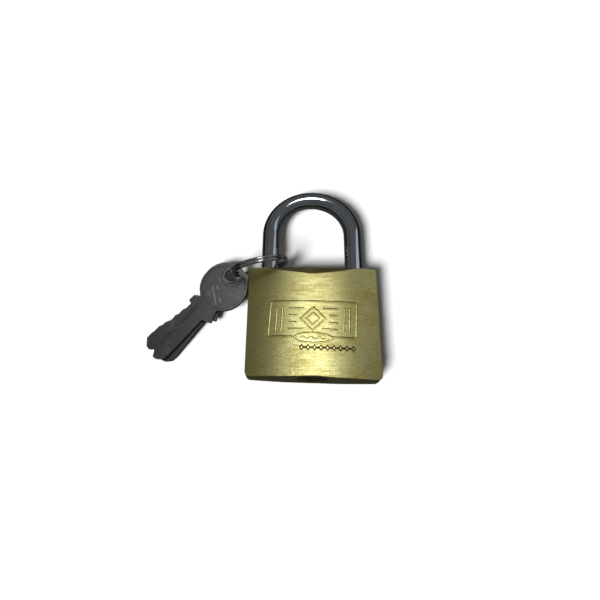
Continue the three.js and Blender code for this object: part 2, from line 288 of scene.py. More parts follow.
def combined(
    obj: bpy.types.Object, others: Sequence[bpy.types.Object], how: Cut, crossing: bool = False
) -> bpy.types.Object:
    """Combines a solid with others and uses them up.

    Args:
        obj: the solid that is kept.
        others: the solids to add, take away or keep within.
        how: the kind of cut.
        crossing: whether any of them crosses itself.

    Returns:
        The changed solid.
    """
    for other in others:
        modifier = obj.modifiers.new("cut", "BOOLEAN")
        modifier.operation = how.value
        modifier.solver = "EXACT"
        modifier.use_self = crossing
        modifier.object = other
        applied(obj)
        mesh = other.data
        bpy.data.objects.remove(other)
        bpy.data.meshes.remove(mesh)
    return obj


def softened(
    obj: bpy.types.Object, width: float, segments: int = 2, angle: float = 32.0, worn: bool = False
) -> bpy.types.Object:
    """Rounds an object's sharp edges.

    Args:
        obj: the solid.
        width: the rounding's width in millimetres.
        segments: faces across the rounding.
        angle: edges sharper than this are rounded.
        worn: whether the roundings take the solid's second finish.

    Returns:
        The eased solid.
    """
    modifier = obj.modifiers.new("edges", "BEVEL")
    if worn:
        while len(obj.data.materials) < 2:
            obj.data.materials.append(None)
        modifier.material = 1
    modifier.width = width
    modifier.segments = segments
    modifier.limit_method = "ANGLE"
    modifier.angle_limit = math.radians(angle)
    modifier.use_clamp_overlap = True
    modifier.loop_slide = False
    return applied(obj)


def smooth_by_angle(obj: bpy.types.Object, degrees: float = 30.0) -> None:
    """Shades an object smooth, with sharp edges above an angle.

    Args:
        obj: the object to shade.
        degrees: edges sharper than this stay sharp.
    """
    for polygon in obj.data.polygons:
        polygon.use_smooth = True
    obj.data.set_sharp_from_angle(angle=math.radians(degrees))


def fit_out(
    obj: bpy.types.Object, finish: "Finish", body: "str | None", nodes: Sequence[str],
    extras: Sequence["Finish"] = (),
) -> bpy.types.Object:
    """Brings a piece to metres, dresses it and gives it to its body.

    Args:
        obj: the finished piece, in millimetres.
        finish: its finish.
        body: the body it moves with, or None for a spring held between two bodies.
        nodes: the frame's nodes it stands for.
        extras: the finishes of its second and later material places, if it has them.

    Returns:
        The piece.
    """
    bm = bmesh.new()
    bm.from_mesh(obj.data)
    bmesh.ops.dissolve_degenerate(bm, edges=bm.edges, dist=1e-5)
    bmesh.ops.triangulate(bm, faces=[f for f in bm.faces if len(f.verts) > 4])
    bm.to_mesh(obj.data)
    bm.free()
    obj.data.transform(Matrix.Scale(MM, 4))
    places = [polygon.material_index for polygon in obj.data.polygons]
    obj.data.materials.clear()
    for coat in (finish, *extras):
        obj.data.materials.append(coat.material())
    obj.data.polygons.foreach_set("material_index", places)
    if body:
        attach(obj, body)
    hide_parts(*nodes)
    log.info("%s: %d faces, on %s", obj.name, len(obj.data.polygons), body or "two bodies")
    return obj


# ---- Finishes -----------------------------------------------------------------------------


class Shader:
    """A small helper that lays out one material's nodes."""

    def __init__(self, name: str) -> None:
        """Starts an empty metal material called name."""
        self.material = bpy.data.materials.new(name)
        self.material.use_nodes = True
        self.tree = self.material.node_tree
        self.tree.nodes.clear()
        self.output = self.tree.nodes.new("ShaderNodeOutputMaterial")
        self.bsdf = self.tree.nodes.new("ShaderNodeBsdfPrincipled")
        self.tree.links.new(self.bsdf.outputs[0], self.output.inputs[0])
        self.coords = self.tree.nodes.new("ShaderNodeTexCoord")

    def link(self, source: bpy.types.NodeSocket, target: bpy.types.NodeSocket) -> None:
        """Joins two sockets."""
        self.tree.links.new(source, target)

    def place(self, stretch: Point3, turn: float = 0.0) -> bpy.types.NodeSocket:
        """Object coordinates, stretched by a scale per axis and turned about Z in degrees.

        Args:
            stretch: the scale on each axis.
            turn: the turn about Z in degrees.

        Returns:
            The coordinates.
        """
        node = self.tree.nodes.new("ShaderNodeMapping")
        node.inputs["Scale"].default_value = stretch
        node.inputs["Rotation"].default_value = (0.0, 0.0, math.radians(turn))
        self.link(self.coords.outputs["Object"], node.inputs["Vector"])
        return node.outputs[0]

    def noise(
        self, stretch: Point3, detail: float, rough: float = 0.6, turn: float = 0.0
    ) -> bpy.types.NodeSocket:
        """Noise between 0 and 1, with its grain per metre given for each axis.

        Args:
            stretch: the grain per metre on each axis.
            detail: how many finer layers it has.
            rough: how strong the finer layers are.
            turn: the grain's turn about Z in degrees.

        Returns:
            The noise's value.
        """
        node = self.tree.nodes.new("ShaderNodeTexNoise")
        node.inputs["Scale"].default_value = 1.0
        node.inputs["Detail"].default_value = detail
        node.inputs["Roughness"].default_value = rough
        self.link(self.place(stretch, turn), node.inputs["Vector"])
        return node.outputs["Fac"]

    def ramp(
        self, source: bpy.types.NodeSocket, low: float, high: float, first: float, last: float
    ) -> bpy.types.NodeSocket:
        """Maps a value from low..high to first..last, held at the ends.

        Args:
            source: the value.
            low: the value that gives first.
            high: the value that gives last.
            first: the result at low.
            last: the result at high.

        Returns:
            The mapped value.
        """
        node = self.tree.nodes.new("ShaderNodeMapRange")
        node.inputs["From Min"].default_value = low
        node.inputs["From Max"].default_value = high
        node.inputs["To Min"].default_value = first
        node.inputs["To Max"].default_value = last
        self.link(source, node.inputs["Value"])
        return node.outputs[0]

    def math(
        self, kind: str, a: bpy.types.NodeSocket, b: "bpy.types.NodeSocket | float"
    ) -> bpy.types.NodeSocket:
        """One arithmetic step on two values.

        Args:
            kind: the step, such as ADD.
            a: the first value.
            b: the second value, a socket or a number.

        Returns:
            The result.
        """
        node = self.tree.nodes.new("ShaderNodeMath")
        node.operation = kind
        self.link(a, node.inputs[0])
        if isinstance(b, (int, float)):
            node.inputs[1].default_value = float(b)
        else:
            self.link(b, node.inputs[1])
        return node.outputs[0]

    def mix(
        self, factor: bpy.types.NodeSocket,
        a: "Point3 | bpy.types.NodeSocket", b: "Point3 | bpy.types.NodeSocket",
    ) -> bpy.types.NodeSocket:
        """Mixes two colours by a factor.

        Args:
            factor: 0 gives a, and 1 gives b.
            a: the first colour.
            b: the second colour.

        Returns:
            The mixed colour.
        """
        node = self.tree.nodes.new("ShaderNodeMix")
        node.data_type = "RGBA"
        self.link(factor, node.inputs[0])
        for value, index in ((a, 6), (b, 7)):
            if isinstance(value, tuple):
                node.inputs[index].default_value = (*value, 1.0)
            else:
                self.link(value, node.inputs[index])
        return node.outputs[2]

    def bump(
        self, height: bpy.types.NodeSocket, strength: float, distance: float,
        under: Optional[bpy.types.NodeSocket] = None,
    ) -> bpy.types.NodeSocket:
        """A bump of a distance in metres, over an optional normal under it.

        Args:
            height: the bump's height from 0 to 1.
            strength: how much of it shows.
            distance: its height in metres.
            under: a normal that it lies on.

        Returns:
            The new normal.
        """
        node = self.tree.nodes.new("ShaderNodeBump")
        node.inputs["Strength"].default_value = strength
        node.inputs["Distance"].default_value = distance
        self.link(height, node.inputs["Height"])
        if under is not None:
            self.link(under, node.inputs["Normal"])
        return node.outputs[0]


class Finish:
    """Base of the finishes: makes its material once and hands it out."""

    _made: dict[str, bpy.types.Material] = {}

    def lay(self) -> Shader:
        """Lays out the finish's nodes."""
        raise NotImplementedError

    def material(self) -> bpy.types.Material:
        """The finish's material, made the first time it is asked for."""
        key = repr(self)
        if key not in Finish._made:
            Finish._made[key] = self.lay().material
        return Finish._made[key]


@dataclass(frozen=True)
class BrushedBrass(Finish):
    """Satin brass, brushed from side to side, with a sandy speckle and dull patches."""

    name: str = "brushed_brass"
    bright: Point3 = (0.69, 0.66, 0.315)
    dull: Point3 = (0.43, 0.35, 0.09)
    roughness: float = 0.32
    line_depth: float = 0.00003

    def lay(self) -> Shader:
        """Lays out the brushing, the speckle and the colour drift."""
        s = Shader(self.name)
        s.bsdf.inputs["Metallic"].default_value = 1.0
        lines = s.noise((170.0, 1500.0, 1500.0), 3.0, 0.65)
        scratches = s.noise((420.0, 5200.0, 5200.0), 2.0, 0.6)
        grit = s.noise((2300.0, 2300.0, 2300.0), 2.0, 0.7)
        drift = s.noise((90.0, 150.0, 150.0), 3.0, 0.55)
        blend = s.math("ADD", s.math("MULTIPLY", lines, 0.42), s.math("MULTIPLY", grit, 0.58))
        shade = s.math("ADD", s.math("MULTIPLY", blend, 0.75), s.math("MULTIPLY", drift, 0.25))
        colour = s.mix(s.ramp(shade, 0.38, 0.60, 0.0, 1.0), self.dull, self.bright)
        s.link(colour, s.bsdf.inputs["Base Color"])
        rough = s.ramp(shade, 0.38, 0.62, self.roughness + 0.12, self.roughness - 0.06)
        s.link(rough, s.bsdf.inputs["Roughness"])
        under = s.bump(grit, 0.8, self.line_depth * 1.6)
        brushing = s.math("ADD", lines, s.math("MULTIPLY", scratches, 0.5))
        over = s.bump(brushing, 0.9, self.line_depth * 1.6, under)
        s.link(over, s.bsdf.inputs["Normal"])
        return s


@dataclass(frozen=True)
class TurnedMetal(Finish):
    """Metal with fine lathe or drawing marks across one axis.

    The grain is given per metre on each axis: a low number runs along the marks.
    """

    name: str
    bright: Point3
    dull: Point3
    roughness: float
    grain: Point3
    depth: float = 0.000012

    def lay(self) -> Shader:
        """Lays out the marks, a faint tarnish and the roughness they bring."""
        s = Shader(self.name)
        s.bsdf.inputs["Metallic"].default_value = 1.0
        marks = s.noise(self.grain, 3.0, 0.65)
        tarnish = s.noise((260.0, 260.0, 260.0), 4.0, 0.6)
        fine = s.noise((5200.0, 5200.0, 5200.0), 2.0, 0.6)
        shade = s.math("ADD", s.math("MULTIPLY", marks, 0.5), s.math("MULTIPLY", tarnish, 0.5))
        colour = s.mix(s.ramp(shade, 0.35, 0.65, 0.0, 1.0), self.dull, self.bright)
        s.link(colour, s.bsdf.inputs["Base Color"])
        rough = s.ramp(tarnish, 0.3, 0.7, self.roughness + 0.08, self.roughness - 0.04)
        s.link(rough, s.bsdf.inputs["Roughness"])
        height = s.math("ADD", marks, s.math("MULTIPLY", fine, 0.4))
        s.link(s.bump(height, 0.6, self.depth), s.bsdf.inputs["Normal"])
        return s


@dataclass(frozen=True)
class Chrome(Finish):
    """Bright chrome plate with faint handling haze and hairline scratches."""

    name: str = "chrome_plate"
    tint: Point3 = (0.575, 0.625, 0.70)
    haze: Point3 = (0.46, 0.51, 0.575)
    roughness: float = 0.07

    def lay(self) -> Shader:
        """Lays out the haze and the hairline scratches of the plated bar."""
        s = Shader(self.name)
        s.bsdf.inputs["Metallic"].default_value = 1.0
        smear = s.noise((240.0, 90.0, 240.0), 4.0, 0.6)
        hair = s.noise((2600.0, 160.0, 2600.0), 3.0, 0.7, 8.0)
        s.link(s.mix(s.ramp(smear, 0.4, 0.7, 0.0, 1.0), self.tint, self.haze), s.bsdf.inputs["Base Color"])
        rough = s.math("ADD", s.ramp(smear, 0.4, 0.7, self.roughness - 0.02, self.roughness + 0.05),
                       s.ramp(hair, 0.6, 0.8, 0.0, 0.08))
        s.link(rough, s.bsdf.inputs["Roughness"])
        s.link(s.bump(hair, 0.25, 0.000006), s.bsdf.inputs["Normal"])
        return s


@dataclass(frozen=True)
class SatinNickel(Finish):
    """Dark satin nickel of stamped keys, tumbled smooth with fine random scratches."""

    name: str = "satin_nickel"
    bright: Point3 = (0.27, 0.265, 0.255)
    dull: Point3 = (0.17, 0.17, 0.16)
    worn: Point3 = (0.52, 0.51, 0.49)
    roughness: float = 0.36

    def lay(self) -> Shader:
        """Lays out the tumbled grain, scratches both ways and smudges."""
        s = Shader(self.name)
        s.bsdf.inputs["Metallic"].default_value = 1.0
        grain = s.noise((3800.0, 3800.0, 3800.0), 3.0, 0.7)
        hair = s.noise((1500.0, 120.0, 600.0), 3.0, 0.7, 47.0)
        cross = s.noise((1700.0, 140.0, 600.0), 2.0, 0.7, -30.0)
        smudge = s.noise((170.0, 170.0, 170.0), 3.0, 0.55)
        shade = s.math("ADD", s.math("MULTIPLY", grain, 0.45), s.math("MULTIPLY", smudge, 0.55))
        spots = s.math("MULTIPLY", s.ramp(s.noise((300.0, 300.0, 300.0), 2.0, 0.6), 0.58, 0.72, 0.0, 1.0),
                       s.ramp(grain, 0.42, 0.6, 0.0, 0.8))
        plain = s.mix(s.ramp(shade, 0.38, 0.64, 0.0, 1.0), self.dull, self.bright)
        s.link(s.mix(spots, plain, self.worn), s.bsdf.inputs["Base Color"])
        rough = s.ramp(shade, 0.35, 0.65, self.roughness + 0.08, self.roughness - 0.06)
        s.link(rough, s.bsdf.inputs["Roughness"])
        under = s.bump(grain, 0.5, 0.00002)
        both = s.math("MAXIMUM", s.ramp(hair, 0.62, 0.75, 0.0, 1.0), s.ramp(cross, 0.64, 0.76, 0.0, 1.0))
        s.link(s.bump(both, -0.35, 0.00001, under), s.bsdf.inputs["Normal"])
        return s


BRASS = BrushedBrass()
CAP_BRASS = TurnedMetal(
    "cap_brass", (0.70, 0.62, 0.22), (0.45, 0.39, 0.12), 0.30, (900.0, 3800.0, 3800.0), 0.00002
)
PLUG_BRASS = TurnedMetal("plug_brass", (0.42, 0.35, 0.14), (0.20, 0.165, 0.07), 0.38, (900.0, 260.0, 900.0))
RUBBED_BRASS = TurnedMetal(
    "rubbed_brass", (0.86, 0.79, 0.38), (0.66, 0.58, 0.22), 0.22, (300.0, 900.0, 900.0)
)
# Lighter nickel for the keys' eased edges and raised bars: partly wear, partly a painted highlight standing
# in for the glints along those rims.
WORN_NICKEL_AND_GLINT = TurnedMetal(
    "worn_nickel_and_painted_glint", (0.92, 0.91, 0.88), (0.66, 0.65, 0.63), 0.26, (900.0, 900.0, 900.0)
)
RESIDUE = TurnedMetal(
    "polish_residue", (0.14, 0.11, 0.05), (0.05, 0.04, 0.02), 0.55, (2000.0, 2000.0, 2000.0), 0.00004
)
CHROME = Chrome()
NICKEL = SatinNickel()
RING_STEEL = TurnedMetal(
    "ring_steel", (0.76, 0.76, 0.77), (0.52, 0.52, 0.53), 0.15, (700.0, 700.0, 700.0), 0.000008
)
SPRING_STEEL = TurnedMetal(
    "spring_steel", (0.48, 0.49, 0.51), (0.30, 0.31, 0.33), 0.28, (1200.0, 1200.0, 1200.0)
)
PLAIN_STEEL = TurnedMetal(
    "plain_steel", (0.52, 0.53, 0.54), (0.34, 0.35, 0.36), 0.30, (400.0, 2600.0, 2600.0)
)


# ---- Case ---------------------------------------------------------------------------------


@dataclass
class CaseShell:
    """The solid brass case: barrel-shaped faces, flat narrow sides, its bores and its stamping."""

    width: float = 50.0
    height: float = 43.0
    thick: float = 14.0
    side_thick: float = 7.4
    strips: int = 150
    top_bevel_run: float = 2.85
    top_bevel_drop: float = 1.6
    foot_radius: float = 1.8
    leg_x: float = 16.8
    leg_bore: float = 3.8
    toe_floor: float = 10.2
    heel_floor: float = -12.0
    plug_bore: float = 5.7
    cam_floor: float = 11.3
    latch_y: float = 16.7
    latch_bore: float = 2.5
    latch_floor: float = 10.6
    pin_bore: float = 1.5
    pin_y: list[float] = field(default_factory=lambda: [-16.9 + 3.8 * i for i in range(5)])
    retainers: tuple[Point2, Point2] = ((13.2, 13.0), (5.8, 3.4))

    @property
    def mid(self) -> float:
        """Height of the case's middle plane."""
        return self.thick / 2

    def drop(self, x: float) -> float:
        """How far the barrel face has fallen from its crown at x."""
        sag = (self.thick - self.side_thick) / 2
        half = self.width / 2
        radius = (half**2 + sag**2) / (2 * sag)
        return radius - math.sqrt(radius**2 - x**2)

    def blank(self) -> bpy.types.Object:
        """The case before drilling, with its edges eased."""
        half = self.width / 2
        top, base = self.height / 2, -self.height / 2
        xs = [-half + self.width * i / self.strips for i in range(self.strips + 1)]
        back = [(x, max(self.drop(x), 0.0)) for x in xs]
        front = [(x, self.thick - z) for x, z in reversed(back)]
        ends = {0, self.strips, self.strips + 1, 2 * self.strips + 1}
        barrel_line = rounded(back + front, [0.3 if i in ends else 0 for i in range(len(back + front))])
        barrel = prism("case_shell", barrel_line, base, top, lambda a, b, h: (a, h, b))
        plan = [(-half, base), (half, base), (half, top), (-half, top)]
        r = self.foot_radius * 1.15
        plan_block = prism(
            "plan", rounded(plan, [r, r, 0.3, 0.3], 8), -1, self.thick + 1, along(Axis.Z, 0, 0, 0)
        )
        run, fall = self.top_bevel_run, self.top_bevel_drop
        flank = [
            (base, 0.0), (top - run, 0.0), (top, fall),
            (top, self.thick - fall), (top - run, self.thick), (base, self.thick),
        ]
        flank_block = prism(
            "flank", rounded(flank, [0.6, 0.5, 0.35, 0.35, 0.5, 0.6]), -half - 1, half + 1,
            lambda a, b, h: (h, a, b),
        )
        return combined(barrel, [plan_block, flank_block], Cut.KEEP)

    def bores(self) -> list[bpy.types.Object]:
        """All drilled holes; the shackle bores, the plug bore and the witness hole carry the small
        countersink the drill leaves at its mouth.
        """
        top, base, side = self.height / 2, -self.height / 2, -self.width / 2
        cam_reach = 3.6
        down = lambda x: along(Axis.Y, x, 0, self.mid)
        mouth = lambda r, e: [(r, e - 0.3), (r + 0.35, e + 0.05), (r + 0.35, e + 1)]
        out = [
            turned(
                "toe_bore", [(self.leg_bore, self.toe_floor), *mouth(self.leg_bore, top)], down(-self.leg_x)
            ),
            turned(
                "heel_bore", [(self.leg_bore, self.heel_floor), *mouth(self.leg_bore, top)], down(self.leg_x)
            ),
            turned(
                "plug_bore",
                [(6.9, base - 1), (6.55, base - 0.05), (6.25, base + 0.35), (self.plug_bore, base + 0.55),
                 (self.plug_bore, self.cam_floor)],
                down(0), 96,
            ),
            turned("cam_room", [(cam_reach, 10.0), (cam_reach, self.latch_y + 1)], down(0)),
            turned("latch_bore", [(self.latch_bore, side - 1), (self.latch_bore, self.latch_floor)],
                   along(Axis.X, 0, self.latch_y, self.mid)),
            turned("witness_hole", [(0.95, base - 1), (0.8, base + 0.1), (0.8, base + 1.6)], down(-19.5), 32),
        ]
        for x, y in self.retainers:
            out.append(turned("retainer_hole", [(1.1, -1), (1.1, 12.5)], along(Axis.Z, x, y, 0), 32))
        for y in self.pin_y:
            out.append(turned("chamber", [(self.pin_bore, side - 1), (self.pin_bore, -4.4)],
                              along(Axis.X, 0, y, self.mid), 40))
        return out

    def stroke(
        self, points: Sequence[Point2], closed: bool, radius: float = 0.46, depth: float = 0.36
    ) -> bpy.types.Object:
        """A round-bottomed groove cutter that follows the barrel face.

        Args:
            points: the groove's line on the front face.
            closed: whether its last point joins its first.
            radius: the cutter's radius.
            depth: how deep it goes.

        Returns:
            The cutter.
        """
        line = [Vector(p) for p in points]
        if closed:
            line.append(line[0])
        path: list[Vector] = []
        for a, b in zip(line, line[1:]):
            steps = max(1, int((b - a).length / 0.8))
            path += [a.lerp(b, i / steps) for i in range(steps)]
        if not closed:
            path.append(line[-1])
        count = len(path)
        stations = []
        for i, p in enumerate(path):
            before = path[i - 1] if i > 0 or closed else p
            after = path[(i + 1) % count] if i + 1 < count or closed else p
            direction = (after - before).normalized()
            slope = -p.x / 95.0
            u = Vector((direction.y, -direction.x, 0)).normalized()
            centre = Vector((p.x, p.y, self.thick - self.drop(p.x) + radius - depth))
            stations.append((centre, u, Vector((-slope, 0, 1)).normalized()))
        section = circle(radius, 10)
        if not closed:
            return swept("groove", stations, section)
        n = len(section)
        verts = [p + u * a + v * b for p, u, v in stations for a, b in section]
        faces = [
            (i * n + j, i * n + (j + 1) % n, ((i + 1) % count) * n + (j + 1) % n, ((i + 1) % count) * n + j)
            for i in range(count)
            for j in range(n)
        ]
        return piece_from("groove", verts, faces)

    def device(self) -> list[bpy.types.Object]:
        """A plain stamped ornament: a slanted frame, bars, ribs, a lozenge and an oval at its foot."""
        lean = lambda pts: [(x + 0.06 * y, y) for x, y in pts]
        foot = 6.9
        wide, tall = 16.2, 6.9
        frame_line = [(foot + 0.2, -tall), (wide, -tall), (wide, tall), (-wide, tall), (-wide, -tall),
                      (-foot - 0.2, -tall)]
        cuts = [self.stroke(rounded(lean(frame_line), [0, 1.3, 1.3, 1.3, 1.3, 0], 4), False)]
        for side in (-1, 1):
            for x in (13.7, 11.6):
                cuts.append(self.stroke(lean([(side * x, -4.7), (side * x, 4.7)]), False))
            for y, inner in ((4.0, 3.4), (1.4, 5.9), (-1.4, 5.9), (-4.0, 3.4)):
                cuts.append(self.stroke(lean([(side * inner, y), (side * 9.3, y)]), False))
        for size in (4.6, 2.4):
            cuts.append(self.stroke(lean([(-size, 0), (0, size), (size, 0), (0, -size)]), True))
        oval = [(foot * math.cos(a), -7.3 + 1.9 * math.sin(a)) for a in (math.pi * i / 20 for i in range(40))]
        cuts.append(self.stroke(oval, True))
        wave = [(-4.6 + 0.46 * i, -7.3 + 0.5 * math.sin(i * 0.95)) for i in range(21)]
        cuts.append(self.stroke(wave, False, 0.34, 0.26))
        return cuts

    def foot_row(self) -> list[bpy.types.Object]:
        """A row of small stamped lozenges and ticks, which hold dark polish residue."""
        cuts = []
        for i in range(9):
            x = -4.2 + 2.35 * i
            mark = [(x - 0.75, -10.9), (x, -9.95), (x + 0.75, -10.9), (x, -11.85)]
            cuts.append(self.stroke(mark, True, 0.3, 0.3))
            if i < 8:
                cuts.append(self.stroke([(x + 1.2, -11.3), (x + 1.2, -10.5)], False, 0.3, 0.28))
        return cuts

    def build(self) -> bpy.types.Object:
        """Cuts the case and shades its long barrel strips flat and everything else by angle."""
        shell = softened(self.blank(), 0.2, 2, 34.0, worn=True)
        combined(shell, self.bores(), Cut.TAKE)
        combined(shell, self.device() + self.foot_row(), Cut.TAKE, True)
        smooth_by_angle(shell, 28.0)
        for polygon in shell.data.polygons:
            if abs(polygon.normal.z) > 0.96 and abs(polygon.normal.y) < 0.002:
                polygon.use_smooth = False
            x, y, z = polygon.center
            if -6 < x < 16 and -12.4 < y < -9.5 and self.mid < z < self.thick - self.drop(x) - 0.02:
                polygon.material_index = 2
        return shell

    def dress(self) -> bpy.types.Object:
        """Makes the case and gives it its brass, rubbed edges and the dark residue in its stamped row."""
        return fit_out(self.build(), BRASS, "case", ["case_body"], (RUBBED_BRASS, RESIDUE))


# ---- Coils by geometry nodes --------------------------------------------------------------


class NodeTree:
    """A small helper that lays out one geometry node tree."""

    def __init__(self, name: str) -> None:
        """Starts a tree with one geometry output."""
        self.tree = bpy.data.node_groups.new(name, "GeometryNodeTree")
        self.tree.interface.new_socket("Geometry", in_out="OUTPUT", socket_type="NodeSocketGeometry")
        self.inputs = self.tree.nodes.new("NodeGroupInput")
        self.result = self.tree.nodes.new("NodeGroupOutput")

    def value(self, name: str, default: float, whole: bool = False) -> bpy.types.NodeSocket:
        """Adds a named size to the tree's inputs."""
        kind = "NodeSocketInt" if whole else "NodeSocketFloat"
        socket = self.tree.interface.new_socket(name, in_out="INPUT", socket_type=kind)
        socket.default_value = int(default) if whole else default
        return self.inputs.outputs[name]

    def node(self, kind: str, **links: object) -> bpy.types.Node:
        """Adds a node and sets or links its inputs by name.

        Args:
            kind: the node's type.
            **links: an input's name, with _ for a space, and a socket or a plain value.

        Returns:
            The node.
        """
        node = self.tree.nodes.new(kind)
        for name, value in links.items():
            socket = node.inputs[name.replace("_", " ")]
            if isinstance(value, bpy.types.NodeSocket):
                self.tree.links.new(value, socket)
            else:
                socket.default_value = value
        return node

    def math(self, kind: str, *values: object) -> bpy.types.NodeSocket:
        """One arithmetic step on one, two or three values."""
        node = self.tree.nodes.new("ShaderNodeMath")
        node.operation = kind
        for socket, value in zip(node.inputs, values):
            if isinstance(value, bpy.types.NodeSocket):
                self.tree.links.new(value, socket)
            else:
                socket.default_value = float(value)
        return node.outputs[0]

    def finish(self, geometry: bpy.types.NodeSocket, material: bpy.types.Material) -> bpy.types.NodeTree:
        """Ends the tree in smooth shading, Realize Instances and Set Material."""
        smooth = self.node("GeometryNodeSetShadeSmooth", Geometry=geometry)
        real = self.node("GeometryNodeRealizeInstances", Geometry=smooth.outputs[0])
        dressed = self.node("GeometryNodeSetMaterial", Geometry=real.outputs[0])
        dressed.inputs["Material"].default_value = material
        self.tree.links.new(dressed.outputs[0], self.result.inputs[0])
        return self.tree


def grown(name: str, tree: bpy.types.NodeTree, sizes: dict[str, float]) -> bpy.types.Object:
    """Runs a geometry node tree and keeps the result as a plain mesh.

    Args:
        name: the new object's name.
        tree: the tree to run.
        sizes: the tree's named inputs.

    Returns:
        The plain mesh object, with no modifier left on it.
    """
    mesh = bpy.data.meshes.new(name)
    obj = bpy.data.objects.new(name, mesh)
    bpy.context.scene.collection.objects.link(obj)
    modifier = obj.modifiers.new("grow", "NODES")
    modifier.node_group = tree
    sockets = {item.name: item.identifier for item in tree.interface.items_tree if item.in_out == "INPUT"}
    for key, value in sizes.items():
        modifier[sockets[key]] = value
    return applied(obj)


def helix_points(
    tree: NodeTree, steps: bpy.types.NodeSocket
) -> tuple[bpy.types.NodeSocket, bpy.types.NodeSocket]:
    """A line of points and each point's share of the way along it.

    Args:
        tree: the tree being made.
        steps: how many segments the line has.

    Returns:
        The line, and each point's share from 0 to 1.
    """
    line = tree.node("GeometryNodeMeshLine", Count=tree.math("ADD", steps, 1.0))
    index = tree.tree.nodes.new("GeometryNodeInputIndex").outputs[0]
    return line.outputs[0], tree.math("DIVIDE", index, steps)


def wire_on(
    tree: NodeTree, line: bpy.types.NodeSocket, turn: bpy.types.NodeSocket, mean: bpy.types.NodeSocket,
    height: bpy.types.NodeSocket, wire: bpy.types.NodeSocket, sides: int,
) -> bpy.types.NodeSocket:
    """Lays points round the Z axis and sweeps a round wire along them.

    Args:
        tree: the tree being made.
        line: the points.
        turn: each point's angle in radians.
        mean: the coil's mean radius.
        height: each point's height.
        wire: the wire's radius.
        sides: the wire's segments.

    Returns:
        The closed wire.
    """
    x = tree.math("MULTIPLY", mean, tree.math("COSINE", turn))
    y = tree.math("MULTIPLY", mean, tree.math("SINE", turn))
    place = tree.node("ShaderNodeCombineXYZ", X=x, Y=y, Z=height)
    moved = tree.node("GeometryNodeSetPosition", Geometry=line, Position=place.outputs[0])
    curve = tree.node("GeometryNodeMeshToCurve", Mesh=moved.outputs[0])
    level = tree.node("GeometryNodeSetCurveNormal", Curve=curve.outputs[0])
    ring = tree.node("GeometryNodeCurvePrimitiveCircle", Resolution=sides, Radius=wire)
    swept_wire = tree.tree.nodes.new("GeometryNodeCurveToMesh")
    tree.tree.links.new(level.outputs[0], swept_wire.inputs[0])
    tree.tree.links.new(ring.outputs[0], swept_wire.inputs[1])
    swept_wire.inputs["Fill Caps"].default_value = True
    return swept_wire.outputs[0]


def spring_tree() -> bpy.types.NodeTree:
    """A compression spring up the Z axis, with its end turns closed up."""
    tree = NodeTree("spring_coil")
    mean, wire = tree.value("Mean radius", 1.0), tree.value("Wire radius", 0.2)
    length, turns = tree.value("Length", 8.0), tree.value("Turns", 6.0)
    steps = tree.value("Steps", 160, True)
    line, share = helix_points(tree, steps)
    turn = tree.math("MULTIPLY", tree.math("MULTIPLY", share, turns), 2 * math.pi)
    dead = tree.math("DIVIDE", 0.85, turns)
    lead = tree.node("ShaderNodeMapRange", Value=share)
    tree.tree.links.new(dead, lead.inputs["From Min"])
    tree.tree.links.new(tree.math("SUBTRACT", 1.0, dead), lead.inputs["From Max"])
    travel = tree.math("SUBTRACT", length, tree.math("MULTIPLY", wire, 6.2))
    near_share = tree.math("MINIMUM", tree.math("DIVIDE", share, dead), 1.0)
    near = tree.math("MULTIPLY", near_share, tree.math("MULTIPLY", wire, 2.1))
    far_share = tree.math("DIVIDE", tree.math("SUBTRACT", share, tree.math("SUBTRACT", 1.0, dead)), dead)
    far = tree.math("MULTIPLY", tree.math("MAXIMUM", far_share, 0.0), tree.math("MULTIPLY", wire, 2.1))
    middle = tree.math("MULTIPLY", lead.outputs[0], travel)
    height = tree.math("ADD", tree.math("ADD", near, far), tree.math("ADD", middle, wire))
    wires = wire_on(tree, line, turn, mean, height, wire, 10)
    return tree.finish(wires, SPRING_STEEL.material())


def ring_tree() -> bpy.types.NodeTree:
    """A double-turn split ring round the Z axis, its turns stepping over at one place."""
    tree = NodeTree("split_ring_coil")
    mean, wire = tree.value("Mean radius", 11.1), tree.value("Wire radius", 0.6)
    pitch, margin = tree.value("Pitch", 1.3), tree.value("Margin", 32.0)
    seam, steps = tree.value("Seam", 100.0), tree.value("Steps", 300, True)
    line, share = helix_points(tree, steps)
    span = tree.math("SUBTRACT", 720.0, tree.math("MULTIPLY", margin, 2.0))
    degrees = tree.math("ADD", margin, tree.math("MULTIPLY", share, span))
    over = tree.node("ShaderNodeMapRange", Value=degrees)
    over.interpolation_type = "SMOOTHSTEP"
    tree.tree.links.new(tree.math("SUBTRACT", 360.0, margin), over.inputs["From Min"])
    tree.tree.links.new(tree.math("ADD", 360.0, margin), over.inputs["From Max"])
    height = tree.math("MULTIPLY", tree.math("SUBTRACT", over.outputs[0], 0.5), pitch)
    turn = tree.math("RADIANS", tree.math("ADD", degrees, seam))
    wires = wire_on(tree, line, turn, mean, height, wire, 16)
    return tree.finish(wires, RING_STEEL.material())


def row_tree(source: bpy.types.Object, material: bpy.types.Material) -> bpy.types.NodeTree:
    """Sets copies of one turned piece in a row along Y.

    Args:
        source: the piece at the row's first place.
        material: the finish of the row.

    Returns:
        The tree, with inputs Count and Pitch.
    """
    tree = NodeTree(f"{source.name}_row")
    count, pitch = tree.value("Count", 5, True), tree.value("Pitch", 3.8)
    index = tree.tree.nodes.new("GeometryNodeInputIndex").outputs[0]
    line = tree.node("GeometryNodeMeshLine", Count=count)
    offset = tree.node("ShaderNodeCombineXYZ", Y=tree.math("MULTIPLY", index, pitch))
    moved = tree.node("GeometryNodeSetPosition", Geometry=line.outputs[0], Position=offset.outputs[0])
    info = tree.tree.nodes.new("GeometryNodeObjectInfo")
    info.inputs["Object"].default_value = source
    copies = tree.node(
        "GeometryNodeInstanceOnPoints", Points=moved.outputs[0], Instance=info.outputs["Geometry"]
    )
    return tree.finish(copies.outputs[0], material)


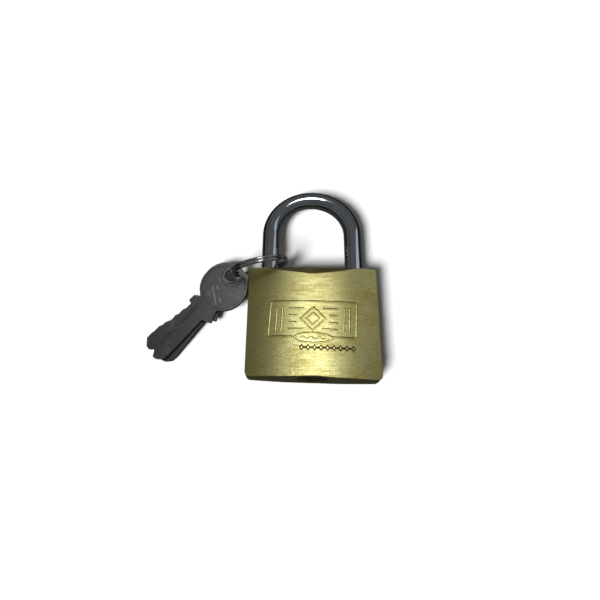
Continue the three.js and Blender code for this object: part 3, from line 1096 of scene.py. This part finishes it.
def coiled(name: str, tree: bpy.types.NodeTree, sizes: dict[str, float], place: Matrix) -> bpy.types.Object:
    """Grows a coil and sets it in its place.

    Args:
        name: the piece's name.
        tree: the coil's tree, which works about the Z axis.
        sizes: the tree's named inputs.
        place: carries the coil to its place in the row.

    Returns:
        The placed coil.
    """
    coil = grown(name, tree, sizes)
    coil.data.transform(place)
    return coil


def onto(axis: Axis, x: float, y: float, z: float) -> Matrix:
    """Carries something made up the Z axis onto another axis through a point.

    Args:
        axis: the new axis.
        x: the point's place on X.
        y: the point's place on Y.
        z: the point's place on Z.

    Returns:
        The transform.
    """
    turns = {
        Axis.X: Matrix.Rotation(math.radians(90), 4, "Y"),
        Axis.Y: Matrix.Rotation(math.radians(-90), 4, "X"),
        Axis.Z: Matrix.Identity(4),
    }
    return Matrix.Translation((x, y, z)) @ turns[axis]


# ---- Shackle ------------------------------------------------------------------------------


@dataclass
class Shackle:
    """The chromed round bar, with its locking notch, its toe and its necked heel."""

    radius: float = 3.5
    half_pitch: float = 16.8
    arch_y: float = 38.5
    mid: float = 7.0
    toe_end: float = 10.5
    heel_end: float = -2.0
    neck_radius: float = 2.3
    neck_low: float = -0.3
    neck_top: float = 14.3
    notch_floor: float = -14.6
    latch_low: float = 14.2
    latch_high: float = 19.2
    latch_rate: float = 0.259
    spring_floor: float = -12.0

    def path(self) -> list[tuple[Vector, float, float]]:
        """Stations from the toe, round the arch, to the heel: place, angle and radius."""
        r = self.radius
        toe = [(self.toe_end, r - 1.1), (self.toe_end + 0.12, r - 0.85), (self.toe_end + 0.95, r - 0.1),
               (self.toe_end + 1.15, r), (self.toe_end + 4, r), (self.arch_y - 6, r)]
        out = [(Vector((-self.half_pitch, y, self.mid)), math.pi, size) for y, size in toe]
        for i in range(97):
            turn = math.pi * (1 - i / 96)
            centre = Vector((math.cos(turn), math.sin(turn), 0)) * self.half_pitch
            out.append((centre + Vector((0, self.arch_y, self.mid)), turn, r))
        neck = self.neck_radius
        heel = [(self.arch_y - 6, r), (self.neck_top + 0.25, r), (self.neck_top, r - 0.25),
                (self.neck_top, neck + 0.2),
                (self.neck_top - 0.2, neck), (self.neck_low + 0.2, neck), (self.neck_low, neck + 0.2),
                (self.neck_low, r - 0.15), (self.neck_low - 0.15, r), (self.heel_end + 0.5, r),
                (self.heel_end, r - 0.5)]
        out += [(Vector((self.half_pitch, y, self.mid)), 0.0, size) for y, size in heel]
        return out

    def build(self) -> bpy.types.Object:
        """Sweeps the bar and cuts the latch's notch with its ramped lower flank."""
        stations = []
        for centre, turn, size in self.path():
            out = Vector((math.cos(turn), math.sin(turn), 0))
            stations.append((centre, out * size, Vector((0, 0, 1)) * size))
        bar = swept("shackle_bar", stations, circle(1.0, 56))
        floor, low, high = self.notch_floor, self.latch_low, self.latch_high
        below, outside = self.toe_end - 1, -self.half_pitch + self.radius + 1
        notch = [(floor, low), (floor + self.latch_rate * (low - below), below), (outside, below),
                 (outside, high + 1.6), (floor, high)]
        combined(bar, [prism("notch", notch, self.mid - 5, self.mid + 5, along(Axis.Z, 0, 0, 0))], Cut.TAKE)
        smooth_by_angle(bar, 30.0)
        return bar

    def dress(self) -> None:
        """Makes the shackle, plates it and sets its lifting spring under the heel."""
        fit_out(self.build(), CHROME, "shackle", ["shackle"])
        sizes = {"Mean radius": 2.6, "Wire radius": 0.4, "Turns": 6.0, "Steps": 260,
                 "Length": self.heel_end - self.spring_floor - 0.3}
        low = Vector((self.half_pitch, self.spring_floor + 0.15, self.mid))
        coil = coiled("lift_spring", spring_tree(), sizes, onto(Axis.Y, *low))
        fit_out(coil, SPRING_STEEL, None, ["shackle_spring"])
        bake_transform(coil)


# ---- Cylinder and its pins ----------------------------------------------------------------


@dataclass
class Cylinder:
    """The plug with its keyway, the cam behind it, and the five pin stacks beside it."""

    radius: float = 5.4
    base: float = -21.1
    top: float = 8.0
    mid: float = 7.0
    way_half: float = 1.1
    way_deep: float = -4.9
    way_top: float = 1.1
    groove_y: float = 3.4
    groove_radius: float = 4.5
    groove_half: float = 1.3
    pin_radius: float = 1.2
    pin_y: list[float] = field(default_factory=lambda: [-16.9 + 3.8 * i for i in range(5)])
    key_pins: list[float] = field(default_factory=lambda: [4.4, 3.8, 3.3, 2.1, 1.4])
    driver_tip: float = -5.85
    driver_length: float = 4.2
    side_x: float = -25.0
    cap_length: float = 6.0

    def keyway(self) -> bpy.types.Object:
        """The keyway's broached section, with a rounded back and two wards standing into it."""
        w, deep, out = self.way_half, self.way_deep, self.radius + 1
        section = [
            (deep, -w), (-2.3, -w), (-2.1, -w + 0.42), (-0.9, -w + 0.42), (-0.7, -w), (out, -w),
            (out, w), (1.5, w), (1.3, w - 0.5), (-0.5, w - 0.5), (-0.7, w), (deep, w),
        ]
        radii = [0.8, 0.2, 0.15, 0.15, 0.2, 0, 0, 0.2, 0.15, 0.15, 0.2, 0.8]
        rule = lambda a, b, h: (a, h, self.mid + b)
        return prism("keyway", rounded(section, radii, 3), self.base - 1, self.way_top, rule)

    def plug(self) -> bpy.types.Object:
        """Turns the plug and cuts its keyway, pin holes, groove and tail slot."""
        r, b, g, h = self.radius, self.base, self.groove_y, self.groove_half
        profile = [
            (r - 1.3, b + 0.22), (r - 0.75, b + 0.02), (r - 0.45, b), (r - 0.12, b + 0.2), (r, b + 0.5),
            (r, g - h), (self.groove_radius, g - h), (self.groove_radius, g + h), (r, g + h),
            (r, self.top - 0.2), (r - 0.2, self.top),
        ]
        body = turned("plug", profile, along(Axis.Y, 0, 0, self.mid), 96)
        cuts = [self.keyway()]
        cuts += [
            turned("pin_hole", [(1.5, -r - 1), (1.5, -1)], along(Axis.X, 0, y, self.mid), 40)
            for y in self.pin_y
        ]
        low, high = (-r - 1, self.top - 1.6, self.mid - 1.3), (r + 1, self.top + 1, self.mid + 1.3)
        cuts.append(block("tail_slot", low, high))
        combined(body, cuts, Cut.TAKE)
        smooth_by_angle(body, 30.0)
        return body

    def cam(self) -> bpy.types.Object:
        """The round cam with its tongue and its offset drive pin."""
        top, disc_top, throw = self.top, 11.0, 2.2 * math.sin(math.pi / 4)
        disc = turned("cam", [(4.7, top + 0.3), (5.0, top + 0.6), (5.0, disc_top - 0.3), (4.7, disc_top)],
                      along(Axis.Y, 0, 0, self.mid), 64)
        tongue = block("tongue", (-4.2, top - 1.3, self.mid - 1), (4.2, top + 1, self.mid + 1))
        pin = turned("drive_pin", [(1.1, disc_top - 1), (1.1, 16.9), (1.0, 17.15), (0.75, 17.3)],
                     along(Axis.Y, -throw, 0, self.mid + throw), 32)
        combined(disc, [softened(tongue, 0.15, 2), pin], Cut.ADD)
        smooth_by_angle(disc, 30.0)
        return disc

    def key_pin(self, index: int) -> bpy.types.Object:
        """One bottom pin, domed towards the plug's edge and pointed towards the key.

        Args:
            index: its place in the row, from 0 at the face.

        Returns:
            The pin.
        """
        back, r, length = -self.radius + 0.15, self.pin_radius, self.key_pins[index]
        profile = [(r - 0.35, back), (r - 0.1, back + 0.1), (r, back + 0.3), (r, back + length - 0.85),
                   (r - 0.08, back + length - 0.7), (0.5, back + length - 0.06), (0.2, back + length)]
        pin = turned(f"bottom_pin_{index + 1}", profile, along(Axis.X, 0, self.pin_y[index], self.mid), 32)
        smooth_by_angle(pin, 35.0)
        return pin

    def row(self, name: str, source: bpy.types.Object, finish: "Finish") -> bpy.types.Object:
        """Repeats a piece down the row of chambers and drops the one it was made from.

        Args:
            name: the new piece's name.
            source: the piece in the first chamber.
            finish: the row's finish.

        Returns:
            The row, as one piece.
        """
        out = grown(name, row_tree(source, finish.material()), {"Count": len(self.pin_y), "Pitch": 3.8})
        mesh = source.data
        bpy.data.objects.remove(source)
        bpy.data.meshes.remove(mesh)
        smooth_by_angle(out, 35.0)
        return out

    def dress(self) -> None:
        """Makes the plug, the cam, the pins, their springs and the chamber caps."""
        fit_out(self.plug(), PLUG_BRASS, "plug", ["cylinder_plug"])
        fit_out(self.cam(), PLAIN_STEEL, "plug", ["plug_cam"])
        for i in range(len(self.key_pins)):
            fit_out(self.key_pin(i), PLUG_BRASS, "plug", [f"key_pin_{i + 1}"])
        numbers = range(1, len(self.pin_y) + 1)
        first = along(Axis.X, 0, self.pin_y[0], self.mid)
        tip, tail, r = self.driver_tip, self.driver_tip - self.driver_length, self.pin_radius
        driver = turned("driver", [(r - 0.2, tail), (r, tail + 0.2), (r, tail + 1.3), (r - 0.25, tail + 1.45),
                                   (r - 0.25, tip - 1.1), (r, tip - 0.95), (r, tip - 0.25),
                                   (r - 0.25, tip)], first, 32)
        fit_out(self.row("driver_pins", driver, PLUG_BRASS), PLUG_BRASS, "case",
                [f"driver_pin_{i}" for i in numbers])
        cap_end = self.side_x + self.cap_length
        cap = turned("cap", [(1.1, self.side_x + 0.03), (1.28, self.side_x), (1.4, self.side_x + 0.14),
                             (1.4, cap_end - 0.2), (1.2, cap_end)], first, 40)
        fit_out(self.row("chamber_caps", cap, CAP_BRASS), CAP_BRASS, "case",
                [f"chamber_cap_{i}" for i in numbers])
        sizes = {"Mean radius": 0.92, "Wire radius": 0.2, "Turns": 9.0, "Steps": 260,
                 "Length": tail - 0.1 - (cap_end + 0.1)}
        place = onto(Axis.X, cap_end + 0.1, self.pin_y[0], self.mid)
        coil = coiled("driver_coil", spring_tree(), sizes, place)
        fit_out(self.row("driver_springs", coil, SPRING_STEEL), SPRING_STEEL, "case",
                [f"driver_spring_{i}" for i in numbers])


# ---- Latch and pressed pins ---------------------------------------------------------------


@dataclass
class Locking:
    """The sprung latch, the cap that closes its bore, and the two pressed retaining pins."""

    y: float = 16.7
    mid: float = 7.0
    radius: float = 2.2
    nose: float = -14.3
    tail: float = 5.2
    bore_end: float = 10.6
    travel: float = 3.15
    side_x: float = -25.0
    toe_x: float = -16.8
    retainers: tuple[Point3, Point3] = ((13.2, 13.0, 1.1), (5.8, 3.4, 0.5))

    def bolt(self) -> bpy.types.Object:
        """The latch: a round bolt with a bevelled nose and a slot for the cam's pin."""
        n, t, r, y = self.nose, self.tail, self.radius, self.y
        rule = along(Axis.X, 0, y, self.mid)
        profile = [(r - 0.4, n), (r - 0.1, n + 0.15), (r, n + 0.4), (r, t - 0.3), (r - 0.3, t)]
        rod = turned("latch", profile, rule, 64)
        bevel = [(n - 1, y + 0.4), (n + 2.4, y + 3.8), (n - 1, y + 3.8)]
        slot_x = -2.2 * math.sin(math.pi / 4)
        cuts = [
            prism("nose_bevel", bevel, self.mid - 4, self.mid + 4, along(Axis.Z, 0, 0, 0)),
            block("cam_slot", (slot_x - 1.5, y - 4, self.mid - 4), (slot_x + 1.5, y + 0.95, self.mid + 4)),
        ]
        combined(rod, cuts, Cut.TAKE)
        rod = softened(rod, 0.08, 2, 40)
        smooth_by_angle(rod, 35.0)
        return rod

    def cap(self) -> bpy.types.Object:
        """The brass cap pressed in flush with the narrow side, hollowed for the toe."""
        s = self.side_x
        profile = [(2.05, s + 0.03), (2.26, s), (2.4, s + 0.16), (2.4, self.toe_x - 3.5 - 0.6)]
        cap = turned("latch_cap", profile, along(Axis.X, 0, self.y, self.mid), 64)
        room = turned("toe_room", [(3.8, 10), (3.8, 22)], along(Axis.Y, self.toe_x, 0, self.mid), 64)
        combined(cap, [room], Cut.TAKE)
        smooth_by_angle(cap, 35.0)
        return cap

    def dress(self) -> None:
        """Makes the latch, its spring, its cap and the retaining pins."""
        fit_out(self.bolt(), PLAIN_STEEL, "latch", ["latch_bolt"])
        fit_out(self.cap(), CAP_BRASS, "case", ["latch_bore_cap"])
        sizes = {"Mean radius": 1.6, "Wire radius": 0.2, "Turns": 4.0, "Steps": 180,
                 "Length": self.bore_end - self.tail - 0.3}
        coil = coiled("latch_coil", spring_tree(), sizes, onto(Axis.X, self.tail + 0.15, self.y, self.mid))
        fit_out(coil, SPRING_STEEL, "case", ["latch_spring"])
        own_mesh(coil)
        names = (("heel_pin", "heel_retaining_pin"), ("plug_pin", "plug_retaining_pin"))
        for (name, node), (x, y, low) in zip(names, self.retainers):
            profile = [(0.75, low), (0.93, low + 0.1), (1.0, low + 0.35), (1.0, 12.1), (0.8, 12.3)]
            pin = turned(name, profile, along(Axis.Z, x, y, 0), 40)
            smooth_by_angle(pin, 35.0)
            fit_out(pin, PLAIN_STEEL, "case", [node])


# ---- Split ring and keys ------------------------------------------------------------------


@dataclass
class SplitRing:
    """The double-turn split ring, standing round the shackle's leg and through both keys."""

    radius: float = 11.1
    wire: float = 0.6
    pitch: float = 1.3
    centre: Point3 = (-20.95, 22.1, 11.58)
    normal: Point3 = (-0.234, 0.953, 0.193)

    def dress(self) -> None:
        """Grows the ring and eases the sawn ends of its wire."""
        normal = Vector(self.normal).normalized()
        side = (Vector((1, 0, 0)) - normal * normal.x).normalized()
        across = normal.cross(side)
        place = Matrix.Translation(self.centre) @ Matrix((side, across, normal)).transposed().to_4x4()
        sizes = {"Mean radius": self.radius, "Wire radius": self.wire, "Pitch": self.pitch,
                 "Margin": 32.0, "Seam": 100.0, "Steps": 320}
        ring = coiled("key_ring", ring_tree(), sizes, place)
        ring = softened(ring, 0.16, 2, 45.0)
        smooth_by_angle(ring, 40.0)
        fit_out(ring, RING_STEEL, "split_ring", ["split_ring"])


@dataclass
class Key:
    """A coined key with a round bow, a stop at its shoulder, grooves and its bitting."""

    name: str
    body: str
    hole: Point3
    heading: float
    cuts: list[float] = field(default_factory=lambda: [3.3, 2.7, 2.2, 1.0, 0.3])
    thick: float = 1.8
    bow_radius: float = 9.8
    bow_centre: Point2 = (5.5, 0.4)
    eye: float = 3.2
    rim: float = 1.0
    tip: float = 44.6
    back: float = 3.3
    cut_edge: float = -8.2
    incline: float = 6.4

    @property
    def shoulder(self) -> float:
        """Where the bow meets the blade."""
        return self.bow_centre[0] + self.bow_radius - 1.2

    def blade(self) -> list[Point2]:
        """The blade's outline, from the bow along the bitting, round the tip and back."""
        s, cut, back, tip = self.shoulder, self.cut_edge, self.back, self.tip
        line = [(self.bow_centre[0], cut + 4.2), (s + 1, cut + 3.8), (s + 1.4, cut + 1.8),
                (s + 4.6, cut + 1.8),
                (s + 5.0, cut + 3.4)]
        for i, depth in enumerate(self.cuts):
            x = s + 7 + i * 3.8
            line += [(x - 0.7, cut + depth), (x + 0.7, cut + depth), (x + 1.9, cut + max(depth - 0.7, 0.0))]
        line += [(tip - 6, cut), (tip - 3.6, cut), (tip - 1.2, cut + 2.4), (tip - 1.0, cut + 4.0),
                 (tip - 2.6, cut + 5.4), (tip - 1.6, cut + 6.4), (tip, cut + 7.4), (tip - 0.4, cut + 9.0),
                 (tip - 2.4, back - 0.3), (tip - 4.2, back), (s + 6.6, back), (s + 6.1, back + 1.8),
                 (s + 5.2, back + 3.7), (s + 3.0, back + 2.7), (s + 0.6, back + 2.0),
                 (self.bow_centre[0], back + 1)]
        radii = [0.0] + [0.35] * (len(line) - 2) + [0.0]
        return rounded(line, radii, 3)

    def dish(self, face: int) -> bpy.types.Object:
        """The cutter for the coined hollow of the bow on one face, round the raised eye rim.

        Args:
            face: 1 for the front and -1 for the back.

        Returns:
            The cutter.
        """
        cx, cy = self.bow_centre
        half, r = self.thick / 2, self.bow_radius
        rule = along(Axis.Z, cx, cy, 0)
        rim_rule = along(Axis.Z, 0, 0, 0)
        floor, sky = face * (half - 0.15), face * (half + 0.5)
        wall = [(r - 1.05, floor), (r - 0.85, face * (half + 0.01)), (r - 0.85, sky)]
        bowl = turned("bowl", wall, rule, 96)
        e = self.eye + self.rim
        rim = turned("eye_rim", [(e + 0.16, floor - face * 0.2), (e + 0.16, floor), (e - 0.04, face * half),
                                 (e - 0.04, sky + face)], rim_rule, 72)
        combined(bowl, [rim], Cut.TAKE)
        low, high = sorted((floor - face * 0.2, floor + face * 0.12))
        marks = [((8.0, -3.4), (12.4, 2.9), 0.22), ((6.6, -2.0), (7.7, -0.4), 0.18),
                 ((9.6, 2.3), (10.9, 4.2), 0.18)]
        raised = []
        for (ax, ay), (bx, by), wide in marks:
            run = (Vector((bx, by)) - Vector((ax, ay))).normalized() * wide
            bar = [(ax - run.y, ay + run.x), (ax + run.y, ay - run.x),
                   (bx + run.y, by - run.x), (bx - run.y, by + run.x)]
            raised.append(prism("raised_bar", rounded(bar, [0.12] * 4, 2), low, high, rim_rule))
        return combined(bowl, raised, Cut.TAKE)

    def grooves(self) -> list[bpy.types.Object]:
        """The cutters for the milled groove on the front and the ward groove on the back."""
        s, cut, half = self.shoulder, self.cut_edge, self.thick / 2
        out = []
        for low, high, face, depth in ((cut + 5.2, cut + 6.9, 1, 0.24), (cut + 7.4, cut + 9.2, -1, 0.34)):
            floor, sky = face * (half - depth), face * (half + 0.6)
            section = [(low, sky), (low, face * (half - 0.02)), (low + 0.3, floor), (high - 0.3, floor),
                       (high, face * (half - 0.02)), (high, sky)]
            starts = [(s + 2.4, 0.0), (s + 4.2, 1.0), (self.tip + 1, 1.0)]
            stations = []
            for x, sink in starts:
                lift = face * (1 - sink) * depth
                stations.append((Vector((x, 0, lift)), Vector((0, 1, 0)), Vector((0, 0, 1))))
            out.append(swept("key_groove", stations, section))
        return out

    def build(self) -> bpy.types.Object:
        """Blanks, eases, coins, mills and cuts the key, then lays it in its place."""
        half = self.thick / 2
        flat = along(Axis.Z, 0, 0, 0)
        cx, cy = self.bow_centre
        key = prism(self.name, circle(self.bow_radius, 128, cx, cy), -half, half, flat)
        combined(key, [prism("blade", self.blade(), -half, half, flat)], Cut.ADD)
        combined(key, [turned("eye", [(self.eye, -2), (self.eye, 2)], flat, 64)], Cut.TAKE)
        bm = bmesh.new()
        bm.from_mesh(key.data)
        bmesh.ops.dissolve_limit(bm, angle_limit=math.radians(1), verts=bm.verts, edges=bm.edges)
        bm.to_mesh(key.data)
        bm.free()
        # The eased edges take the lighter second nickel: worn metal, and in part a painted glint along the
        # rims.
        softened(key, 0.15, 2, 50.0, worn=True)
        step = [(17.3, -9.5), (17.3, -3.0), (16.7, 1.2), (13.9, 4.9), (13.2, 9.5), (50, 9.5), (50, -9.5)]
        cuts = []
        for face in (1, -1):
            cuts += [self.dish(face)]
            low, high = sorted((face * (half - 0.1), face * (half + 1)))
            cuts.append(prism("step", step, low, high, flat))
        combined(key, cuts + self.grooves(), Cut.TAKE)
        # The tops of the raised bars take the lighter second nickel too, partly wear and partly a painted
        # highlight that makes them show as bright marks.
        for polygon in key.data.polygons:
            if half - 0.06 < abs(polygon.center.z) < half - 0.01 and abs(polygon.normal.z) > 0.9:
                polygon.material_index = 1
        smooth_by_angle(key, 18.0)
        place = Matrix.Translation(self.hole) @ Matrix.Rotation(math.radians(self.heading), 4, "Z")
        key.data.transform(place @ Matrix.Rotation(math.radians(self.incline), 4, "Y"))
        return key

    def dress(self) -> None:
        """Makes the key and gives it its tumbled nickel, with its eased edges and raised bars in a lighter
        nickel that is partly wear and partly a painted highlight.
        """
        fit_out(self.build(), NICKEL, self.body, [self.body], (WORN_NICKEL_AND_GLINT,))


# ---- Stage --------------------------------------------------------------------------------


@dataclass(frozen=True)
class Paper(Finish):
    """The plain pale floor: smooth matt board with a very faint tooth."""

    name: str = "pale_board"
    tone: Point3 = (0.88, 0.88, 0.885)

    def lay(self) -> Shader:
        """Lays out the board's faint mottling."""
        s = Shader(self.name)
        mottle = s.noise((60.0, 60.0, 60.0), 3.0, 0.5)
        lighter = tuple(min(1.0, c + 0.015) for c in self.tone)
        s.link(s.mix(mottle, self.tone, lighter), s.bsdf.inputs["Base Color"])
        s.bsdf.inputs["Roughness"].default_value = 0.95
        s.bsdf.inputs["Specular IOR Level"].default_value = 0.1
        return s


@dataclass
class Studio:
    """The floor, the soft lights and the camera."""

    floor_half: float = 5.0
    lens: float = 28.08
    shift: Point2 = (0.0865, -0.0376)
    eye: Point3 = (-0.0091, -0.0536, 0.1823)
    room_levels: tuple[Point2, ...] = (
        (-1.0, 0.06), (-0.4, 0.055), (-0.28, 0.008), (0.1, 0.008), (0.22, 0.1), (0.3, 0.155),
        (0.42, 0.14), (0.52, 0.075),
        (0.66, 0.085), (0.8, 0.14), (0.9, 0.115), (1.0, 0.1),
    )

    def floor(self) -> bpy.types.Object:
        """A large pale floor that bright metal doesn't mirror."""
        h = self.floor_half
        mesh = bpy.data.meshes.new("floor")
        mesh.from_pydata([(-h, -h, 0), (h, -h, 0), (h, h, 0), (-h, h, 0)], [], [(0, 1, 2, 3)])
        mesh.materials.append(Paper().material())
        floor = bpy.data.objects.new("floor", mesh)
        bpy.context.scene.collection.objects.link(floor)
        floor.visible_glossy = False
        return floor

    def room(self) -> None:
        """The dim room that bright metal mirrors: its level changes with height above the floor."""
        world = bpy.data.worlds.new("room")
        world.use_nodes = True
        tree = world.node_tree
        coords = tree.nodes.new("ShaderNodeTexCoord")
        split = tree.nodes.new("ShaderNodeSeparateXYZ")
        height = tree.nodes.new("ShaderNodeMapRange")
        height.inputs["From Min"].default_value = -1.0
        levels = tree.nodes.new("ShaderNodeValToRGB")
        ramp = levels.color_ramp
        for index, (where, level) in enumerate(self.room_levels):
            stop = ramp.elements[index] if index < 2 else ramp.elements.new(1.0)
            stop.position = (where + 1) / 2
            stop.color = (level * 0.95, level * 0.95, level * 0.91, 1.0)
        tree.links.new(coords.outputs["Generated"], split.inputs[0])
        tree.links.new(split.outputs["Z"], height.inputs["Value"])
        tree.links.new(height.outputs[0], levels.inputs[0])
        tree.links.new(levels.outputs[0], tree.nodes["Background"].inputs["Color"])
        bpy.context.scene.world = world

    def backdrop(self) -> bpy.types.Object:
        """A plain pale backdrop far behind everything, which lights nothing."""
        dome = piece_from("backdrop", *self.dome_shell(4.5))
        board = bpy.data.materials.new("pale_backdrop")
        board.use_nodes = True
        bsdf = board.node_tree.nodes["Principled BSDF"]
        bsdf.inputs["Base Color"].default_value = (0.0, 0.0, 0.0, 1.0)
        bsdf.inputs["Emission Color"].default_value = (0.86, 0.87, 0.88, 1.0)
        bsdf.inputs["Emission Strength"].default_value = 1.0
        dome.data.materials.append(board)
        dome.visible_glossy = dome.visible_diffuse = dome.visible_shadow = False
        dome.visible_transmission = dome.visible_volume_scatter = False
        return dome

    def dome_shell(self, radius: float) -> tuple[list[Point3], list[Sequence[int]]]:
        """Corners and faces of a half dome of a radius in metres.

        Args:
            radius: the radius.

        Returns:
            Its corners and its faces.
        """
        verts: list[Point3] = []
        for i in range(9):
            rise = math.radians(-3 + 10 * i)
            verts += [(x, y, radius * math.sin(rise)) for x, y in circle(radius * math.cos(rise), 48)]
        faces: list[Sequence[int]] = [
            (i * 48 + j, i * 48 + (j + 1) % 48, (i + 1) * 48 + (j + 1) % 48, (i + 1) * 48 + j)
            for i in range(8)
            for j in range(48)
        ]
        faces.append(list(range(8 * 48, 9 * 48)))
        return verts, faces

    def daylight(self) -> bpy.types.Object:
        """The soft main light, low on the left and near, which lays the shadows to the upper right."""
        data = bpy.data.lights.new("daylight", "SUN")
        data.energy = 4.6
        data.angle = math.radians(20.0)
        light = bpy.data.objects.new("daylight", data)
        light.rotation_euler = Vector((0.47, 0.64, -0.90)).to_track_quat("-Z", "Y").to_euler()
        light.visible_glossy = False
        bpy.context.scene.collection.objects.link(light)
        return light

    def lamp(self, name: str, place: Point3, size: Point2, watts: float) -> bpy.types.Object:
        """A soft rectangular light aimed at the padlock.

        Args:
            name: the light's name.
            place: where it hangs.
            size: its width and height in metres.
            watts: its power.

        Returns:
            The light.
        """
        data = bpy.data.lights.new(name, "AREA")
        data.shape = "RECTANGLE"
        data.size, data.size_y = size
        data.energy = watts
        data.color = (0.95, 0.97, 1.0)
        light = bpy.data.objects.new(name, data)
        light.location = place
        light.visible_diffuse = False
        aim = Vector((0.0, 0.01, 0.005)) - Vector(place)
        light.rotation_euler = aim.to_track_quat("-Z", "Y").to_euler()
        bpy.context.scene.collection.objects.link(light)
        return light

    def camera(self) -> bpy.types.Object:
        """The camera, above the padlock's lower left and leaning over it."""
        data = bpy.data.cameras.new("camera")
        data.lens = self.lens
        data.sensor_width = 36.0
        data.shift_x, data.shift_y = self.shift
        data.clip_start = 0.005
        cam = bpy.data.objects.new("camera", data)
        right = Vector((0.996, 0.046, -0.075)).normalized()
        back = Vector((0.087, -0.382, 0.92)).normalized()
        up = back.cross(right).normalized()
        right = up.cross(back)
        cam.matrix_world = Matrix.Translation(self.eye) @ Matrix((right, up, back)).transposed().to_4x4()
        bpy.context.scene.collection.objects.link(cam)
        bpy.context.scene.camera = cam
        return cam

    def dress(self) -> None:
        """Sets the whole stage."""
        self.room()
        bpy.context.scene.view_settings.view_transform = "Standard"
        lights = [
            self.daylight(),
            self.lamp("ceiling_lamp", (0.035, 0.115, 0.59), (0.14, 0.2), 0.74),
            self.lamp("side_lamp", (0.40, 0.24, 0.34), (0.16, 0.36), 0.09),
        ]
        self.floor()
        self.backdrop()
        self.camera()


# ---- Whole --------------------------------------------------------------------------------


def main() -> None:
    """Builds every sub-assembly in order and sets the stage."""
    logging.basicConfig(level=logging.INFO, format="%(message)s")
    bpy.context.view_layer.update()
    CaseShell().dress()
    Shackle().dress()
    Cylinder().dress()
    Locking().dress()
    SplitRing().dress()
    Key("upper_key", "key_1", (-32.0, 18.75, 8.0), 228.3).dress()
    Key("lower_key", "key_2", (-32.15, 20.8, 5.88), 233.5).dress()
    Studio().dress()


if __name__ == "__main__":
    main()
